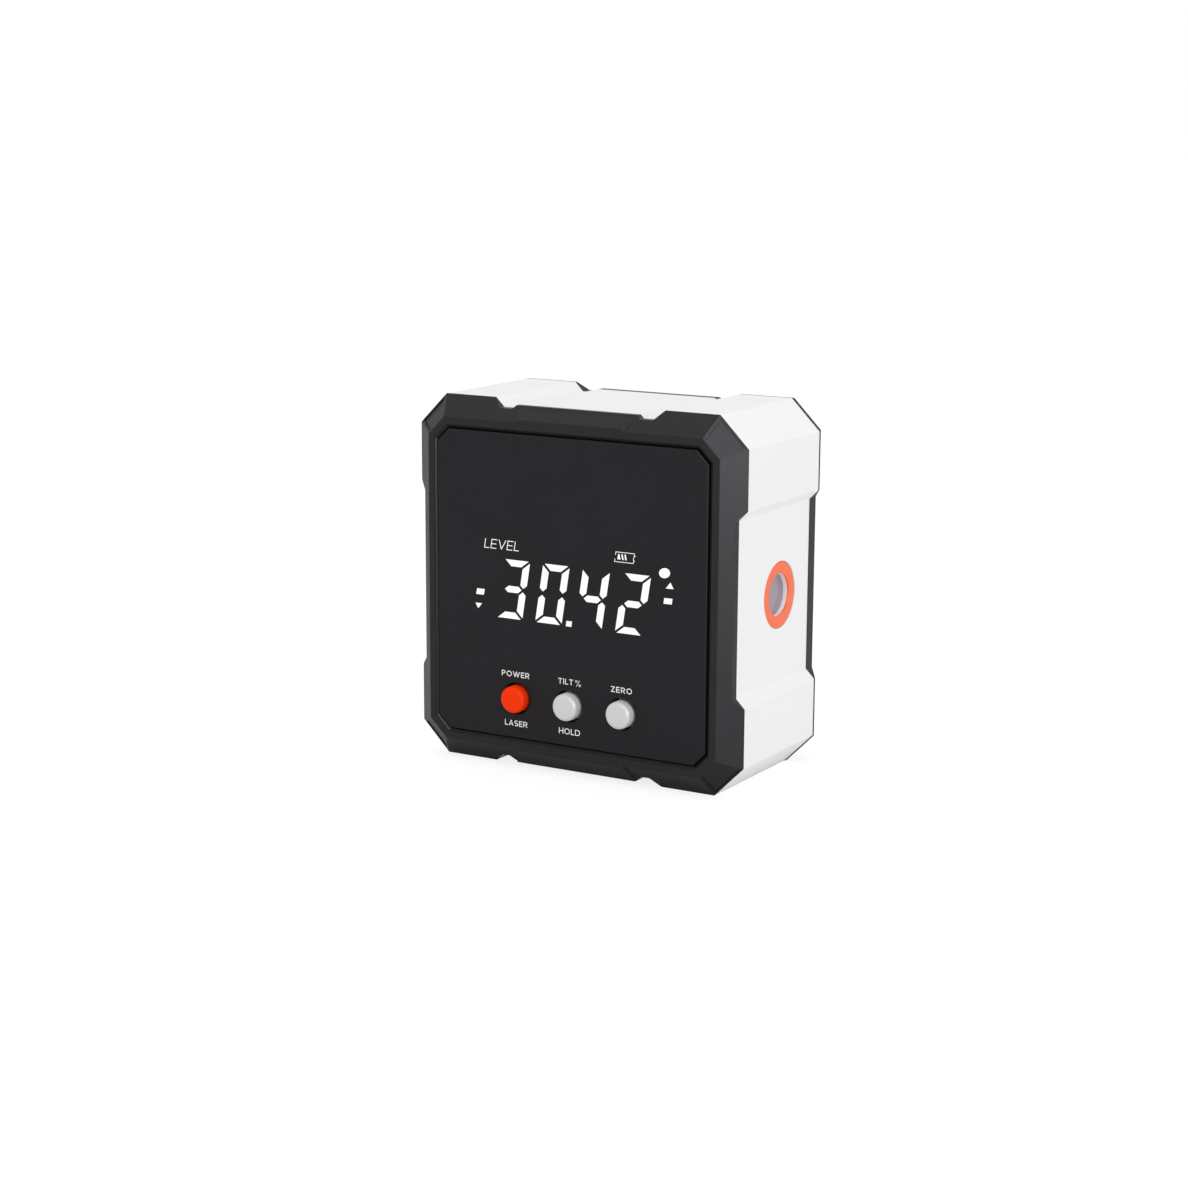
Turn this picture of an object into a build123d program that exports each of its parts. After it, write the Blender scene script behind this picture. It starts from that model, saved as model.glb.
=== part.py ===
"""Digital laser level: a square box with a lit display, three buttons and a laser on each side.

X runs to the right, Y runs from the display to the back and Z runs up. The origin is under the
middle of the box, on the surface that it stands on. All sizes are in millimetres.
"""
from build123d import *
import math
import os

os.makedirs("parts", exist_ok=True)

# Case, seen from the front
face_width = 60.0
face_height = 60.0
corner_cut = 5.0
corner_round = 0.3
block_length = 14.5
side_recess = 1.5
groove_depth = 1.5
pad_spacing = 4.4
top_pad_recess = 0.93
base_pad_recess = 0.4

# Case, front to back
front_depth = 3.1
front_land = 0.1
body_depth = 24.4
rear_depth = 4.4
bevel_width = 3.4
bevel_round = 0.25
wall = 2.2
plate_wall = 1.2
rear_wall = 1.6

# Raised pads of the front cover, and the recesses in the corners of its bevel
pad_narrowing = 1.35
pad_end_rise = 0.4
pad_land = 0.8
recess_depth = 0.2
recess_border = 0.5
recess_edge = 0.25

# Spigots and screw posts that join the three shells
spigot_fit = 0.15
spigot_wall = 1.0
spigot_reach = 2.0
post_cut = 11.6
screw_inset = 7.4
boss_radius = 2.8
boss_reach = 7.0
boss_gap = 0.15

# Rear cover
rear_land = 0.5
rear_corner_cut = 4.8
rear_side_recess = 1.4

# Gap between pieces that are pressed or screwed together
seat_gap = 0.03

# Front window and the ring round it
ring_width = 1.62
ring_slope = 0.35
ring_line_width = 0.12
ring_line_depth = 0.12
window_cut = 2.1
window_thickness = 1.5
window_gap = 0.2
window_proud = 0.1
window_round = 0.2
tape_gap = 0.05

# Display
display_x = 0.6
display_rise = 1.0
glass_width = 41.0
glass_height = 19.0
glass_thickness = 1.8
backlight_height = 15.6
backlight_thickness = 2.0
display_border = 1.3
gasket_thickness = 0.3
gasket_width = 1.0
holder_wall = 0.9
holder_gap = 0.1
strip_height = 1.8

# Buttons
button_pitch = 9.8
button_rise = 6.53
button_radius = 2.22
button_proud = 1.5
button_round = 0.65
button_hole_gap = 0.42
flange_overlap = 1.1
flange_thickness = 0.7
stem_radius = 1.7
stem_length = 0.5
travel = 0.5

# Switches under the buttons
switch_size = 6.0
switch_height = 2.4
switch_floor = 0.5
plunger_radius = 1.6
plunger_proud = 0.9
plunger_play = 0.1
contact_gap = 0.05
leg_width = 0.8
leg_length = 1.2
leg_thickness = 0.3
leg_pitch = 4.5

# Main board
board_gap = 0.8
board_boss_gap = 1.2
board_thickness = 1.2
board_post_radius = 2.2
board_post_inset = 1.95
board_post_gap = 0.2
board_screw_radius = 0.85
board_screw_head_radius = 1.7
board_screw_head = 1.2
board_screw_bite = 2.6

# Chips on the back of the board
processor_size = 9.0
processor_thickness = 1.4
processor_place = (-8.0, 10.0)
sensor_size = 3.0
sensor_thickness = 1.0
sensor_place = (8.0, 10.0)
capacitor_radius = 2.0
capacitor_height = 1.8
capacitor_edge = 0.3
capacitor_place = (0.0, 20.0)
chip_leg_count = 8
chip_leg_pitch = 0.9
chip_leg_width = 0.35

# Lasers
laser_back = 17.4
aperture_radius = 3.38
trim_radius = 5.35
trim_inner_radius = 3.44
trim_thickness = 0.3
trim_sink = 0.1
trim_gap = 0.1
trim_edge = 0.06
glass_setback = 1.05
laser_glass_thickness = 1.0
beam_radius = 2.4
beam_wall = 0.7
sleeve_wall = 2.05
sleeve_length = 9.0
barrel_radius = 3.0
barrel_length = 10.0
barrel_play = 0.35
barrel_wall = 0.7
lens_thickness = 1.2
lens_setback = 0.5
driver_thickness = 1.0
diode_flange_thickness = 0.6
diode_can_radius = 1.6
diode_can_length = 2.4
aiming_screw_radius = 1.0
aiming_screw_length = 2.9
aiming_socket_radius = 0.5
aiming_socket_depth = 1.2
aiming_socket_sides = 6
aiming_screw_setback = 4.5
aiming_screw_count = 3

# Cells, their well and their contacts
cell_radius = 5.25
cell_length = 44.5
cell_tip_radius = 1.9
cell_tip_length = 1.0
cell_shoulder = 0.5
cell_gap = 0.3
well_wall = 1.2
spring_room = 3.2
tip_room = 0.45
contact_thickness = 0.4
contact_half = 4.4
spring_radius = 2.6
spring_wire_radius = 0.25
spring_turns = 3
spring_wire_sides = 6
tab_width = 3.0
tab_proud = 1.2
tab_slot_gap = 0.2

# Battery door
door_thickness = 1.4
door_rim = 1.3
door_gap = 0.2
door_corner = 1.3
door_edge = 0.2
tongue_thickness = 0.9
tongue_width = 9.0
tongue_reach = 2.4
grip_count = 5
grip_pitch = 1.4
grip_length = 10.0
grip_width = 0.6
grip_depth = 0.4
grip_inset = 8.2

# Long screws through the back
screw_radius = 1.0
screw_clearance = 0.2
screw_head_radius = 2.0
screw_head = 1.5
screw_head_gap = 0.2
screw_sink = 0.4
screw_bite = 5.0
cross_length = 2.2
cross_width = 0.5
cross_depth = 0.8

# Magnets in the base
magnet_radius = 3.9
magnet_thickness = 2.5
magnet_sink = 0.2
magnet_gap = 0.1

# Leads
lead_radius = 0.4
lead_sides = 8
lead_spacing = 1.2
lead_bend = 1.5
lead_clearance = 0.3

# Places along Y, from the front to the back
total_depth = button_proud + window_proud + front_depth + body_depth + rear_depth
back_face = total_depth / 2
rear_joint = back_face - rear_depth
front_joint = rear_joint - body_depth
ring_face = front_joint - front_depth
window_face = ring_face - window_proud
button_face = window_face - button_proud
window_back = window_face + window_thickness
plate_front = window_back + tape_gap
plate_back = plate_front + plate_wall
flange_front = plate_back + contact_gap
flange_back = flange_front + flange_thickness
button_back = flange_back + stem_length
plunger_front = button_back + contact_gap
switch_front = plunger_front + plunger_proud
board_front = switch_front + switch_height
board_back = board_front + board_thickness
glass_front = plate_back + gasket_thickness
glass_back = glass_front + glass_thickness
backlight_back = glass_back + backlight_thickness
boss_end = front_joint + boss_reach
post_front = boss_end + boss_gap
laser_y = ring_face + laser_back
cell_y = back_face - door_thickness - cell_gap - cell_radius
well_floor = cell_y - cell_radius - cell_gap
well_front = well_floor - well_wall
screw_seat = back_face - screw_sink - screw_head

# Places in the plane of the face, from its middle
middle_z = face_height / 2
block_start_x = face_width / 2 - block_length
block_start_v = face_height / 2 - block_length
pad_half = block_start_x - pad_spacing
side_x = face_width / 2 - side_recess
inner_x = side_x - wall
inner_v = face_height / 2 - groove_depth - wall
spigot_x = inner_x - spigot_fit
spigot_v = inner_v - spigot_fit
pocket_x = spigot_x - spigot_wall
pocket_v = spigot_v - spigot_wall
rebate_x = face_width / 2 - bevel_width - ring_width
rebate_v = face_height / 2 - bevel_width - ring_width
window_x = rebate_x - window_gap
window_v = rebate_v - window_gap
screw_x = face_width / 2 - screw_inset
screw_v = face_height / 2 - screw_inset
cell_x = cell_radius + cell_gap / 2
well_half_width = cell_x + cell_radius + cell_gap
well_half_height = (cell_length + spring_room + tip_room) / 2
tab_v = contact_thickness / 2 - well_half_height
glass_inner_x = side_x - glass_setback - laser_glass_thickness
sleeve_radius = barrel_radius + barrel_play + sleeve_wall
barrel_front_x = glass_inner_x - beam_wall - contact_gap
barrel_back_x = barrel_front_x - barrel_length
backlight_v = display_rise + (glass_height - backlight_height) / 2
strip_v = display_rise - (glass_height - strip_height) / 2 + gasket_width / 2
button_v = button_rise - window_v
button_places = {"power": -button_pitch, "hold": 0.0, "zero": button_pitch}
holder_width = glass_width + 2 * holder_gap
holder_height = glass_height + 2 * holder_gap
board_x = inner_x - board_gap
board_v = inner_v - board_gap
board_cut = board_x + board_v - screw_x - screw_v + math.sqrt(2) * (boss_radius + board_boss_gap)
board_post_x = pocket_x - board_post_inset
board_post_v = display_rise + holder_height / 2 + holder_wall + board_post_radius + board_post_gap
magnet_x = (block_start_x + face_width / 2 - corner_cut) / 2
magnet_y = body_depth / 4


def upright(y):
    """Give the upright plane at depth y, centred on the face, with its normal to the front."""
    return Plane(origin=(0, y, middle_z), x_dir=(1, 0, 0), z_dir=(0, -1, 0))


def across_laser(x):
    """Give the plane across the right laser at x, with its normal out through the side."""
    return Plane(origin=(x, laser_y, middle_z), x_dir=(0, 1, 0), z_dir=(1, 0, 0))


def aiming_planes():
    """Give a plane on the axis of the right laser for each aiming screw, facing along it."""
    x = inner_x - aiming_screw_setback
    turns = [math.radians(90 + 360 * i / aiming_screw_count) for i in range(aiming_screw_count)]
    return [
        Plane(origin=(x, laser_y, middle_z), x_dir=(1, 0, 0), z_dir=(0, math.cos(t), math.sin(t)))
        for t in turns
    ]


def octagon(half_width, half_height, cut):
    """Draw a rectangle with cut corners."""
    with BuildSketch() as face:
        Rectangle(2 * half_width, 2 * half_height)
        chamfer(face.vertices(), length=cut)
    return face.sketch


def inset_cut(cut, inset):
    """Give the corner cut of an octagon that lies evenly inside one with this cut."""
    return cut - (2 - math.sqrt(2)) * inset


def rebate_frame(growth):
    """Draw the outline of the window's rebate, grown evenly by this much."""
    return octagon(rebate_x + growth, rebate_v + growth, inset_cut(window_cut, -growth))


def outline(cut, recess):
    """Draw the outline of the case: corner blocks, grooves, pads and recessed sides."""
    half_width = face_width / 2
    half_height = face_height / 2
    with BuildSketch() as face:
        with BuildLine():
            Polyline(
                (0, half_height - top_pad_recess),
                (pad_half, half_height - top_pad_recess),
                (pad_half + groove_depth - top_pad_recess, half_height - groove_depth),
                (block_start_x - groove_depth, half_height - groove_depth),
                (block_start_x, half_height),
                (half_width - cut, half_height),
                (half_width, half_height - cut),
                (half_width, block_start_v),
                (half_width - recess, block_start_v - recess),
                (half_width - recess, recess - block_start_v),
                (half_width, -block_start_v),
                (half_width, cut - half_height),
                (half_width - cut, -half_height),
                (block_start_x, -half_height),
                (block_start_x - groove_depth, groove_depth - half_height),
                (pad_half + groove_depth - base_pad_recess, groove_depth - half_height),
                (pad_half, base_pad_recess - half_height),
                (0, base_pad_recess - half_height),
            )
            mirror(about=Plane.YZ)
        make_face()
        corners = face.vertices().filter_by(lambda corner: abs(corner.X) > corner_round)
        fillet(corners, radius=corner_round)
    return face.sketch


def bevelled_block(joint, land, face, cut, recess):
    """Make the solid form of a cover: a straight land at the joint, then a bevel all round."""
    half_width = face_width / 2
    half_height = face_height / 2
    bevel_start = joint + land
    with BuildPart() as block:
        with BuildSketch(upright(joint)):
            add(octagon(half_width, half_height, cut))
        extrude(amount=-land)
        with BuildSketch(upright(bevel_start)):
            add(octagon(half_width, half_height, cut))
        with BuildSketch(upright(face)):
            face_cut = inset_cut(cut, bevel_width)
            add(octagon(half_width - bevel_width, half_height - bevel_width, face_cut))
        loft(ruled=True)
        with BuildSketch(upright(joint)):
            add(outline(cut, recess))
        extrude(amount=joint - face, mode=Mode.INTERSECT)
    return block.part


def raised_pads():
    """Make the pads that run up the front bevel in the middle of the top and of the base."""
    low_end = bevel_width - pad_end_rise
    with BuildPart() as pads:
        with BuildSketch(Plane.XY):
            with BuildLine():
                Polyline(
                    (0, front_joint),
                    (pad_half, front_joint),
                    (pad_half, front_joint - pad_land),
                    (pad_half - pad_narrowing, ring_face),
                    (0, ring_face),
                )
                mirror(about=Plane.YZ)
            make_face()
        extrude(amount=face_height)
        with BuildSketch(Plane.YZ.offset(-pad_half)):
            with BuildLine():
                Polyline(
                    (front_joint, base_pad_recess),
                    (front_joint - pad_land, base_pad_recess),
                    (ring_face, low_end),
                    (ring_face, face_height - low_end),
                    (front_joint - pad_land, face_height - top_pad_recess),
                    (front_joint, face_height - top_pad_recess),
                    close=True,
                )
            make_face()
        extrude(amount=2 * pad_half, mode=Mode.INTERSECT)
    return pads.part


def corner_recess():
    """Make the cut of the shallow recess in the upper right corner of the front bevel."""
    bevel_depth = front_depth - front_land
    slope = math.hypot(bevel_width, bevel_depth)
    far = slope - recess_border
    half = corner_cut / math.sqrt(2)
    narrowing = (half - inset_cut(corner_cut, bevel_width) / math.sqrt(2)) / slope
    side_border = recess_border * math.hypot(1, narrowing)
    near_half = half - narrowing * recess_edge - side_border
    far_half = half - narrowing * far - side_border
    facet = Plane(
        origin=(
            (face_width - corner_cut) / 2,
            front_joint - front_land,
            face_height - corner_cut / 2,
        ),
        x_dir=(-1, 0, 1),
        z_dir=(bevel_depth, -math.sqrt(2) * bevel_width, bevel_depth),
    )
    with BuildPart() as recess:
        with BuildSketch(facet):
            with BuildLine():
                Polyline(
                    (-near_half, recess_edge),
                    (near_half, recess_edge),
                    (far_half, far),
                    (-far_half, far),
                    close=True,
                )
            make_face()
        extrude(amount=-recess_depth)
    return recess.part


def save(piece, name):
    """Label a finished piece and write it to its own file."""
    piece.part.label = name
    export_step(piece.part, f"parts/{name}.step")


def save_pair(piece, name):
    """Write a piece of the right side and its mirror image on the left side."""
    save(piece, f"{name}_right")
    with BuildPart() as twin:
        mirror(piece.part, about=Plane.YZ)
    save(twin, f"{name}_left")


# White body: a hollow frame with a laser sleeve in each side and a screw post in each corner
with BuildPart() as laser_seat:
    with BuildSketch(across_laser(inner_x - sleeve_length)):
        Circle(sleeve_radius)
    extrude(amount=sleeve_length + wall / 2)

with BuildPart() as laser_bore:
    with BuildSketch(across_laser(side_x - trim_sink - trim_thickness)):
        Circle(trim_radius + trim_gap)
    extrude(amount=trim_thickness + trim_sink)
    with BuildSketch(across_laser(glass_inner_x)):
        Circle(aperture_radius)
    extrude(amount=laser_glass_thickness + glass_setback)
    with BuildSketch(across_laser(glass_inner_x - beam_wall)):
        Circle(beam_radius)
    extrude(amount=beam_wall)
    with BuildSketch(across_laser(inner_x - sleeve_length)):
        Circle(barrel_radius + barrel_play)
    extrude(amount=glass_inner_x - beam_wall - inner_x + sleeve_length)
    with BuildSketch(*aiming_planes()):
        Circle(aiming_screw_radius + seat_gap)
    extrude(amount=sleeve_radius + wall)

with BuildPart() as body_frame:
    with BuildSketch(upright(front_joint)):
        add(outline(corner_cut, side_recess))
    extrude(amount=-body_depth)
    with BuildSketch(upright(front_joint)):
        add(octagon(inner_x, inner_v, corner_round))
    extrude(amount=-body_depth, mode=Mode.SUBTRACT)
    with BuildSketch(upright(post_front)):
        Rectangle(2 * inner_x + wall, 2 * inner_v + wall)
        add(octagon(inner_x, inner_v, post_cut), mode=Mode.SUBTRACT)
    extrude(amount=post_front - rear_joint)
    add(laser_seat.part)
    mirror(laser_seat.part, about=Plane.YZ)
    add(laser_bore.part, mode=Mode.SUBTRACT)
    mirror(laser_bore.part, about=Plane.YZ, mode=Mode.SUBTRACT)
    with BuildSketch(Plane.XY):
        with GridLocations(2 * magnet_x, 2 * magnet_y, 2, 2):
            Circle(magnet_radius + magnet_gap)
    extrude(amount=magnet_thickness + magnet_sink, mode=Mode.SUBTRACT)
    with BuildSketch(upright(post_front)):
        with GridLocations(2 * screw_x, 2 * screw_v, 2, 2):
            Circle(screw_radius + screw_clearance)
    extrude(amount=post_front - rear_joint, mode=Mode.SUBTRACT)
save(body_frame, "body_frame")


# Front cover: bevelled rim with a rebate for the window, a plate behind it, bosses and posts
with BuildPart() as upper_recesses:
    add(corner_recess())
    mirror(about=Plane.YZ)

with BuildPart() as front_cover:
    add(bevelled_block(front_joint, -front_land, ring_face, corner_cut, side_recess))
    add(raised_pads())
    rim = front_cover.faces().sort_by(Axis.Y)[0]
    fillet(rim.edges(), radius=bevel_round)
    add(upper_recesses.part, mode=Mode.SUBTRACT)
    mirror(upper_recesses.part, about=Plane.XY.offset(middle_z), mode=Mode.SUBTRACT)
    with BuildSketch(upright(ring_face)):
        add(rebate_frame(0))
    extrude(amount=ring_face - plate_front, mode=Mode.SUBTRACT)
    rebate_edges = front_cover.faces().sort_by(Axis.Y)[0].inner_wires()[0].edges()
    chamfer(rebate_edges, length=ring_slope)
    with BuildSketch(upright(ring_face)):
        add(rebate_frame(ring_slope + ring_line_width))
        add(rebate_frame(ring_slope), mode=Mode.SUBTRACT)
    extrude(amount=-ring_line_depth, mode=Mode.SUBTRACT)
    with BuildSketch(upright(front_joint)):
        add(octagon(spigot_x, spigot_v, corner_round))
    extrude(amount=-spigot_reach)
    with BuildSketch(upright(plate_back)):
        add(octagon(pocket_x, pocket_v, corner_round))
    extrude(amount=plate_back - front_joint - spigot_reach, mode=Mode.SUBTRACT)
    with BuildSketch(upright(plate_back)):
        with GridLocations(2 * screw_x, 2 * screw_v, 2, 2):
            Circle(boss_radius)
    extrude(amount=plate_back - boss_end)
    with BuildSketch(upright(plate_back)):
        with GridLocations(2 * board_post_x, 2 * board_post_v, 2, 2):
            Circle(board_post_radius)
    extrude(amount=plate_back - board_front)
    with BuildSketch(upright(boss_end)):
        with GridLocations(2 * screw_x, 2 * screw_v, 2, 2):
            Circle(screw_radius + seat_gap)
    extrude(amount=screw_bite + contact_gap, mode=Mode.SUBTRACT)
    with BuildSketch(upright(board_front)):
        with GridLocations(2 * board_post_x, 2 * board_post_v, 2, 2):
            Circle(board_screw_radius + seat_gap)
    extrude(amount=board_screw_bite + contact_gap, mode=Mode.SUBTRACT)
    with BuildSketch(upright(plate_front)):
        with Locations((display_x, display_rise)):
            Rectangle(glass_width - 2 * display_border, glass_height - 2 * display_border)
        with Locations(*[(x, button_v) for x in button_places.values()]):
            Circle(button_radius + button_hole_gap)
    extrude(amount=-plate_wall, mode=Mode.SUBTRACT)
save(front_cover, "front_cover")


# Glossy window with a hole for each button
with BuildPart() as front_window:
    with BuildSketch(upright(window_back)):
        add(octagon(window_x, window_v, window_cut))
        with Locations(*[(x, button_v) for x in button_places.values()]):
            Circle(button_radius + button_hole_gap, mode=Mode.SUBTRACT)
    extrude(amount=window_thickness)
    rim = front_window.faces().sort_by(Axis.Y)[0].outer_wire()
    fillet(rim.edges(), radius=window_round)
save(front_window, "front_window")


# Display: gasket, glass, backlight, contact strip and the holder that clips them to the board
with BuildPart() as display_gasket:
    with BuildSketch(upright(glass_front)):
        with Locations((display_x, display_rise)):
            Rectangle(glass_width, glass_height)
            Rectangle(
                glass_width - 2 * gasket_width, glass_height - 2 * gasket_width, mode=Mode.SUBTRACT
            )
    extrude(amount=gasket_thickness)
save(display_gasket, "display_gasket")

with BuildPart() as display_glass:
    with BuildSketch(upright(glass_back)):
        with Locations((display_x, display_rise)):
            Rectangle(glass_width, glass_height)
    extrude(amount=glass_thickness)
save(display_glass, "display_glass")

with BuildPart() as backlight_panel:
    with BuildSketch(upright(backlight_back)):
        with Locations((display_x, backlight_v)):
            Rectangle(glass_width, backlight_height)
    extrude(amount=backlight_thickness)
save(backlight_panel, "backlight_panel")

with BuildPart() as contact_strip:
    with BuildSketch(upright(board_front)):
        with Locations((display_x, strip_v)):
            Rectangle(glass_width - 2 * display_border, strip_height)
    extrude(amount=board_front - glass_back)
save(contact_strip, "contact_strip")

with BuildPart() as display_holder:
    with BuildSketch(upright(board_front)):
        with Locations((display_x, display_rise)):
            Rectangle(holder_width + 2 * holder_wall, holder_height + 2 * holder_wall)
    extrude(amount=board_front - glass_front)
    with BuildSketch(upright(backlight_back)):
        with Locations((display_x, display_rise)):
            Rectangle(holder_width, holder_height)
    extrude(amount=backlight_back - glass_front, mode=Mode.SUBTRACT)
    with BuildSketch(upright(board_front)):
        with Locations((display_x, strip_v)):
            Rectangle(glass_width - display_border, strip_height + 2 * holder_gap)
    extrude(amount=board_front - glass_back, mode=Mode.SUBTRACT)
save(display_holder, "display_holder")


def button(x):
    """Make a round button at x: cap, the flange that keeps it in, and its stem."""
    with BuildPart() as cap:
        with BuildSketch(upright(flange_back)):
            with Locations((x, button_v)):
                Circle(button_radius + flange_overlap)
        extrude(amount=flange_thickness)
        with BuildSketch(upright(flange_front)):
            with Locations((x, button_v)):
                Circle(button_radius)
        extrude(amount=flange_front - button_face)
        fillet(cap.edges().sort_by(Axis.Y)[0], radius=button_round)
        with BuildSketch(upright(flange_back)):
            with Locations((x, button_v)):
                Circle(stem_radius)
        extrude(amount=-stem_length)
    return cap


def switch_body(x):
    """Make the body of the switch under a button, with a well for its plunger and four legs."""
    with BuildPart() as body:
        with BuildSketch(upright(board_front)):
            with Locations((x, button_v)):
                Rectangle(switch_size, switch_size)
        extrude(amount=switch_height)
        with BuildSketch(upright(board_front - switch_floor)):
            with Locations((x, button_v)):
                Circle(plunger_radius + plunger_play)
        extrude(amount=switch_height, mode=Mode.SUBTRACT)
        with BuildSketch(upright(board_front)):
            with Locations((x, button_v)):
                with GridLocations(switch_size + leg_length, leg_pitch, 2, 2):
                    Rectangle(leg_length, leg_width)
        extrude(amount=leg_thickness)
    return body


def plunger(x):
    """Make the plunger of a switch, which follows its button into the switch."""
    plunger_back = board_front - switch_floor - travel - plunger_play
    with BuildPart() as pin:
        with BuildSketch(upright(plunger_back)):
            with Locations((x, button_v)):
                Circle(plunger_radius)
        extrude(amount=plunger_back - plunger_front)
    return pin


# Buttons with their switches and plungers
for button_name, button_x in button_places.items():
    save(button(button_x), f"{button_name}_button")
    save(switch_body(button_x), f"{button_name}_switch")
    save(plunger(button_x), f"{button_name}_plunger")


# Main board with its screws, and the chips on its back
with BuildPart() as main_board:
    with BuildSketch(upright(board_back)):
        add(octagon(board_x, board_v, board_cut))
        with GridLocations(2 * board_post_x, 2 * board_post_v, 2, 2):
            Circle(board_screw_radius + screw_clearance, mode=Mode.SUBTRACT)
    extrude(amount=board_thickness)
save(main_board, "main_board")

with BuildPart() as board_screws:
    with BuildSketch(upright(board_back + board_screw_head)):
        with GridLocations(2 * board_post_x, 2 * board_post_v, 2, 2):
            Circle(board_screw_head_radius)
    extrude(amount=board_screw_head)
    with BuildSketch(upright(board_back)):
        with GridLocations(2 * board_post_x, 2 * board_post_v, 2, 2):
            Circle(board_screw_radius)
    extrude(amount=board_thickness + board_screw_bite)
    with BuildSketch(upright(board_back + board_screw_head)):
        with GridLocations(2 * board_post_x, 2 * board_post_v, 2, 2):
            Rectangle(cross_length, cross_width)
            Rectangle(cross_width, cross_length)
    extrude(amount=cross_depth, mode=Mode.SUBTRACT)
save(board_screws, "board_screws")

with BuildPart() as processor_chip:
    leg_span = processor_size + 2 * leg_thickness
    with BuildSketch(upright(board_back + processor_thickness)):
        with Locations(processor_place):
            Rectangle(processor_size, processor_size)
    extrude(amount=processor_thickness)
    with BuildSketch(upright(board_back + leg_thickness)):
        with Locations(processor_place):
            with GridLocations(chip_leg_pitch, 0, chip_leg_count, 1):
                Rectangle(chip_leg_width, leg_span)
            with GridLocations(0, chip_leg_pitch, 1, chip_leg_count):
                Rectangle(leg_span, chip_leg_width)
    extrude(amount=leg_thickness)
save(processor_chip, "processor_chip")

with BuildPart() as tilt_sensor:
    with BuildSketch(upright(board_back + sensor_thickness)):
        with Locations(sensor_place):
            Rectangle(sensor_size, sensor_size)
    extrude(amount=sensor_thickness)
save(tilt_sensor, "tilt_sensor")

with BuildPart() as board_capacitor:
    with BuildSketch(upright(board_back + capacitor_height)):
        with Locations(capacitor_place):
            Circle(capacitor_radius)
    extrude(amount=capacitor_height)
    top_edge = board_capacitor.edges().sort_by(Axis.Y)[-1]
    chamfer(top_edge, length=capacitor_edge)
save(board_capacitor, "board_capacitor")


# Lasers: each side has a trim ring, a glass, a barrel with its lens, diode and driver, and screws
with BuildPart() as laser_ring:
    with BuildSketch(across_laser(side_x - trim_sink - trim_thickness)):
        Circle(trim_radius)
        Circle(trim_inner_radius, mode=Mode.SUBTRACT)
    extrude(amount=trim_thickness)
    chamfer(laser_ring.faces().sort_by(Axis.X)[-1].edges(), length=trim_edge)
save_pair(laser_ring, "laser_ring")

with BuildPart() as laser_glass:
    with BuildSketch(across_laser(glass_inner_x)):
        Circle(aperture_radius - seat_gap)
    extrude(amount=laser_glass_thickness)
save_pair(laser_glass, "laser_glass")

with BuildPart() as laser_barrel:
    with BuildSketch(across_laser(barrel_back_x)):
        Circle(barrel_radius)
        Circle(barrel_radius - barrel_wall, mode=Mode.SUBTRACT)
    extrude(amount=barrel_length)
save_pair(laser_barrel, "laser_barrel")

with BuildPart() as laser_lens:
    bore_radius = barrel_radius - barrel_wall - seat_gap
    with BuildSketch(across_laser(barrel_front_x - lens_setback - lens_thickness)):
        Circle(bore_radius)
    extrude(amount=lens_thickness)
    fillet(laser_lens.edges().sort_by(Axis.X)[-1], radius=lens_thickness / 2)
save_pair(laser_lens, "laser_lens")

with BuildPart() as laser_driver:
    with BuildSketch(across_laser(barrel_back_x)):
        Circle(bore_radius)
    extrude(amount=driver_thickness)
save_pair(laser_driver, "laser_driver")

with BuildPart() as laser_diode:
    diode_x = barrel_back_x + driver_thickness
    with BuildSketch(across_laser(diode_x)):
        Circle(bore_radius)
    extrude(amount=diode_flange_thickness)
    with BuildSketch(across_laser(diode_x + diode_flange_thickness)):
        Circle(diode_can_radius)
    extrude(amount=diode_can_length)
save_pair(laser_diode, "laser_diode")

with BuildPart() as aiming_screws:
    inner_end = barrel_radius + seat_gap
    outer_end = inner_end + aiming_screw_length
    with BuildSketch(*[plane.offset(inner_end) for plane in aiming_planes()]):
        Circle(aiming_screw_radius)
    extrude(amount=aiming_screw_length)
    with BuildSketch(*[plane.offset(outer_end - aiming_socket_depth) for plane in aiming_planes()]):
        RegularPolygon(aiming_socket_radius, aiming_socket_sides)
    extrude(amount=aiming_socket_depth, mode=Mode.SUBTRACT)
save_pair(aiming_screws, "aiming_screws")


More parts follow.
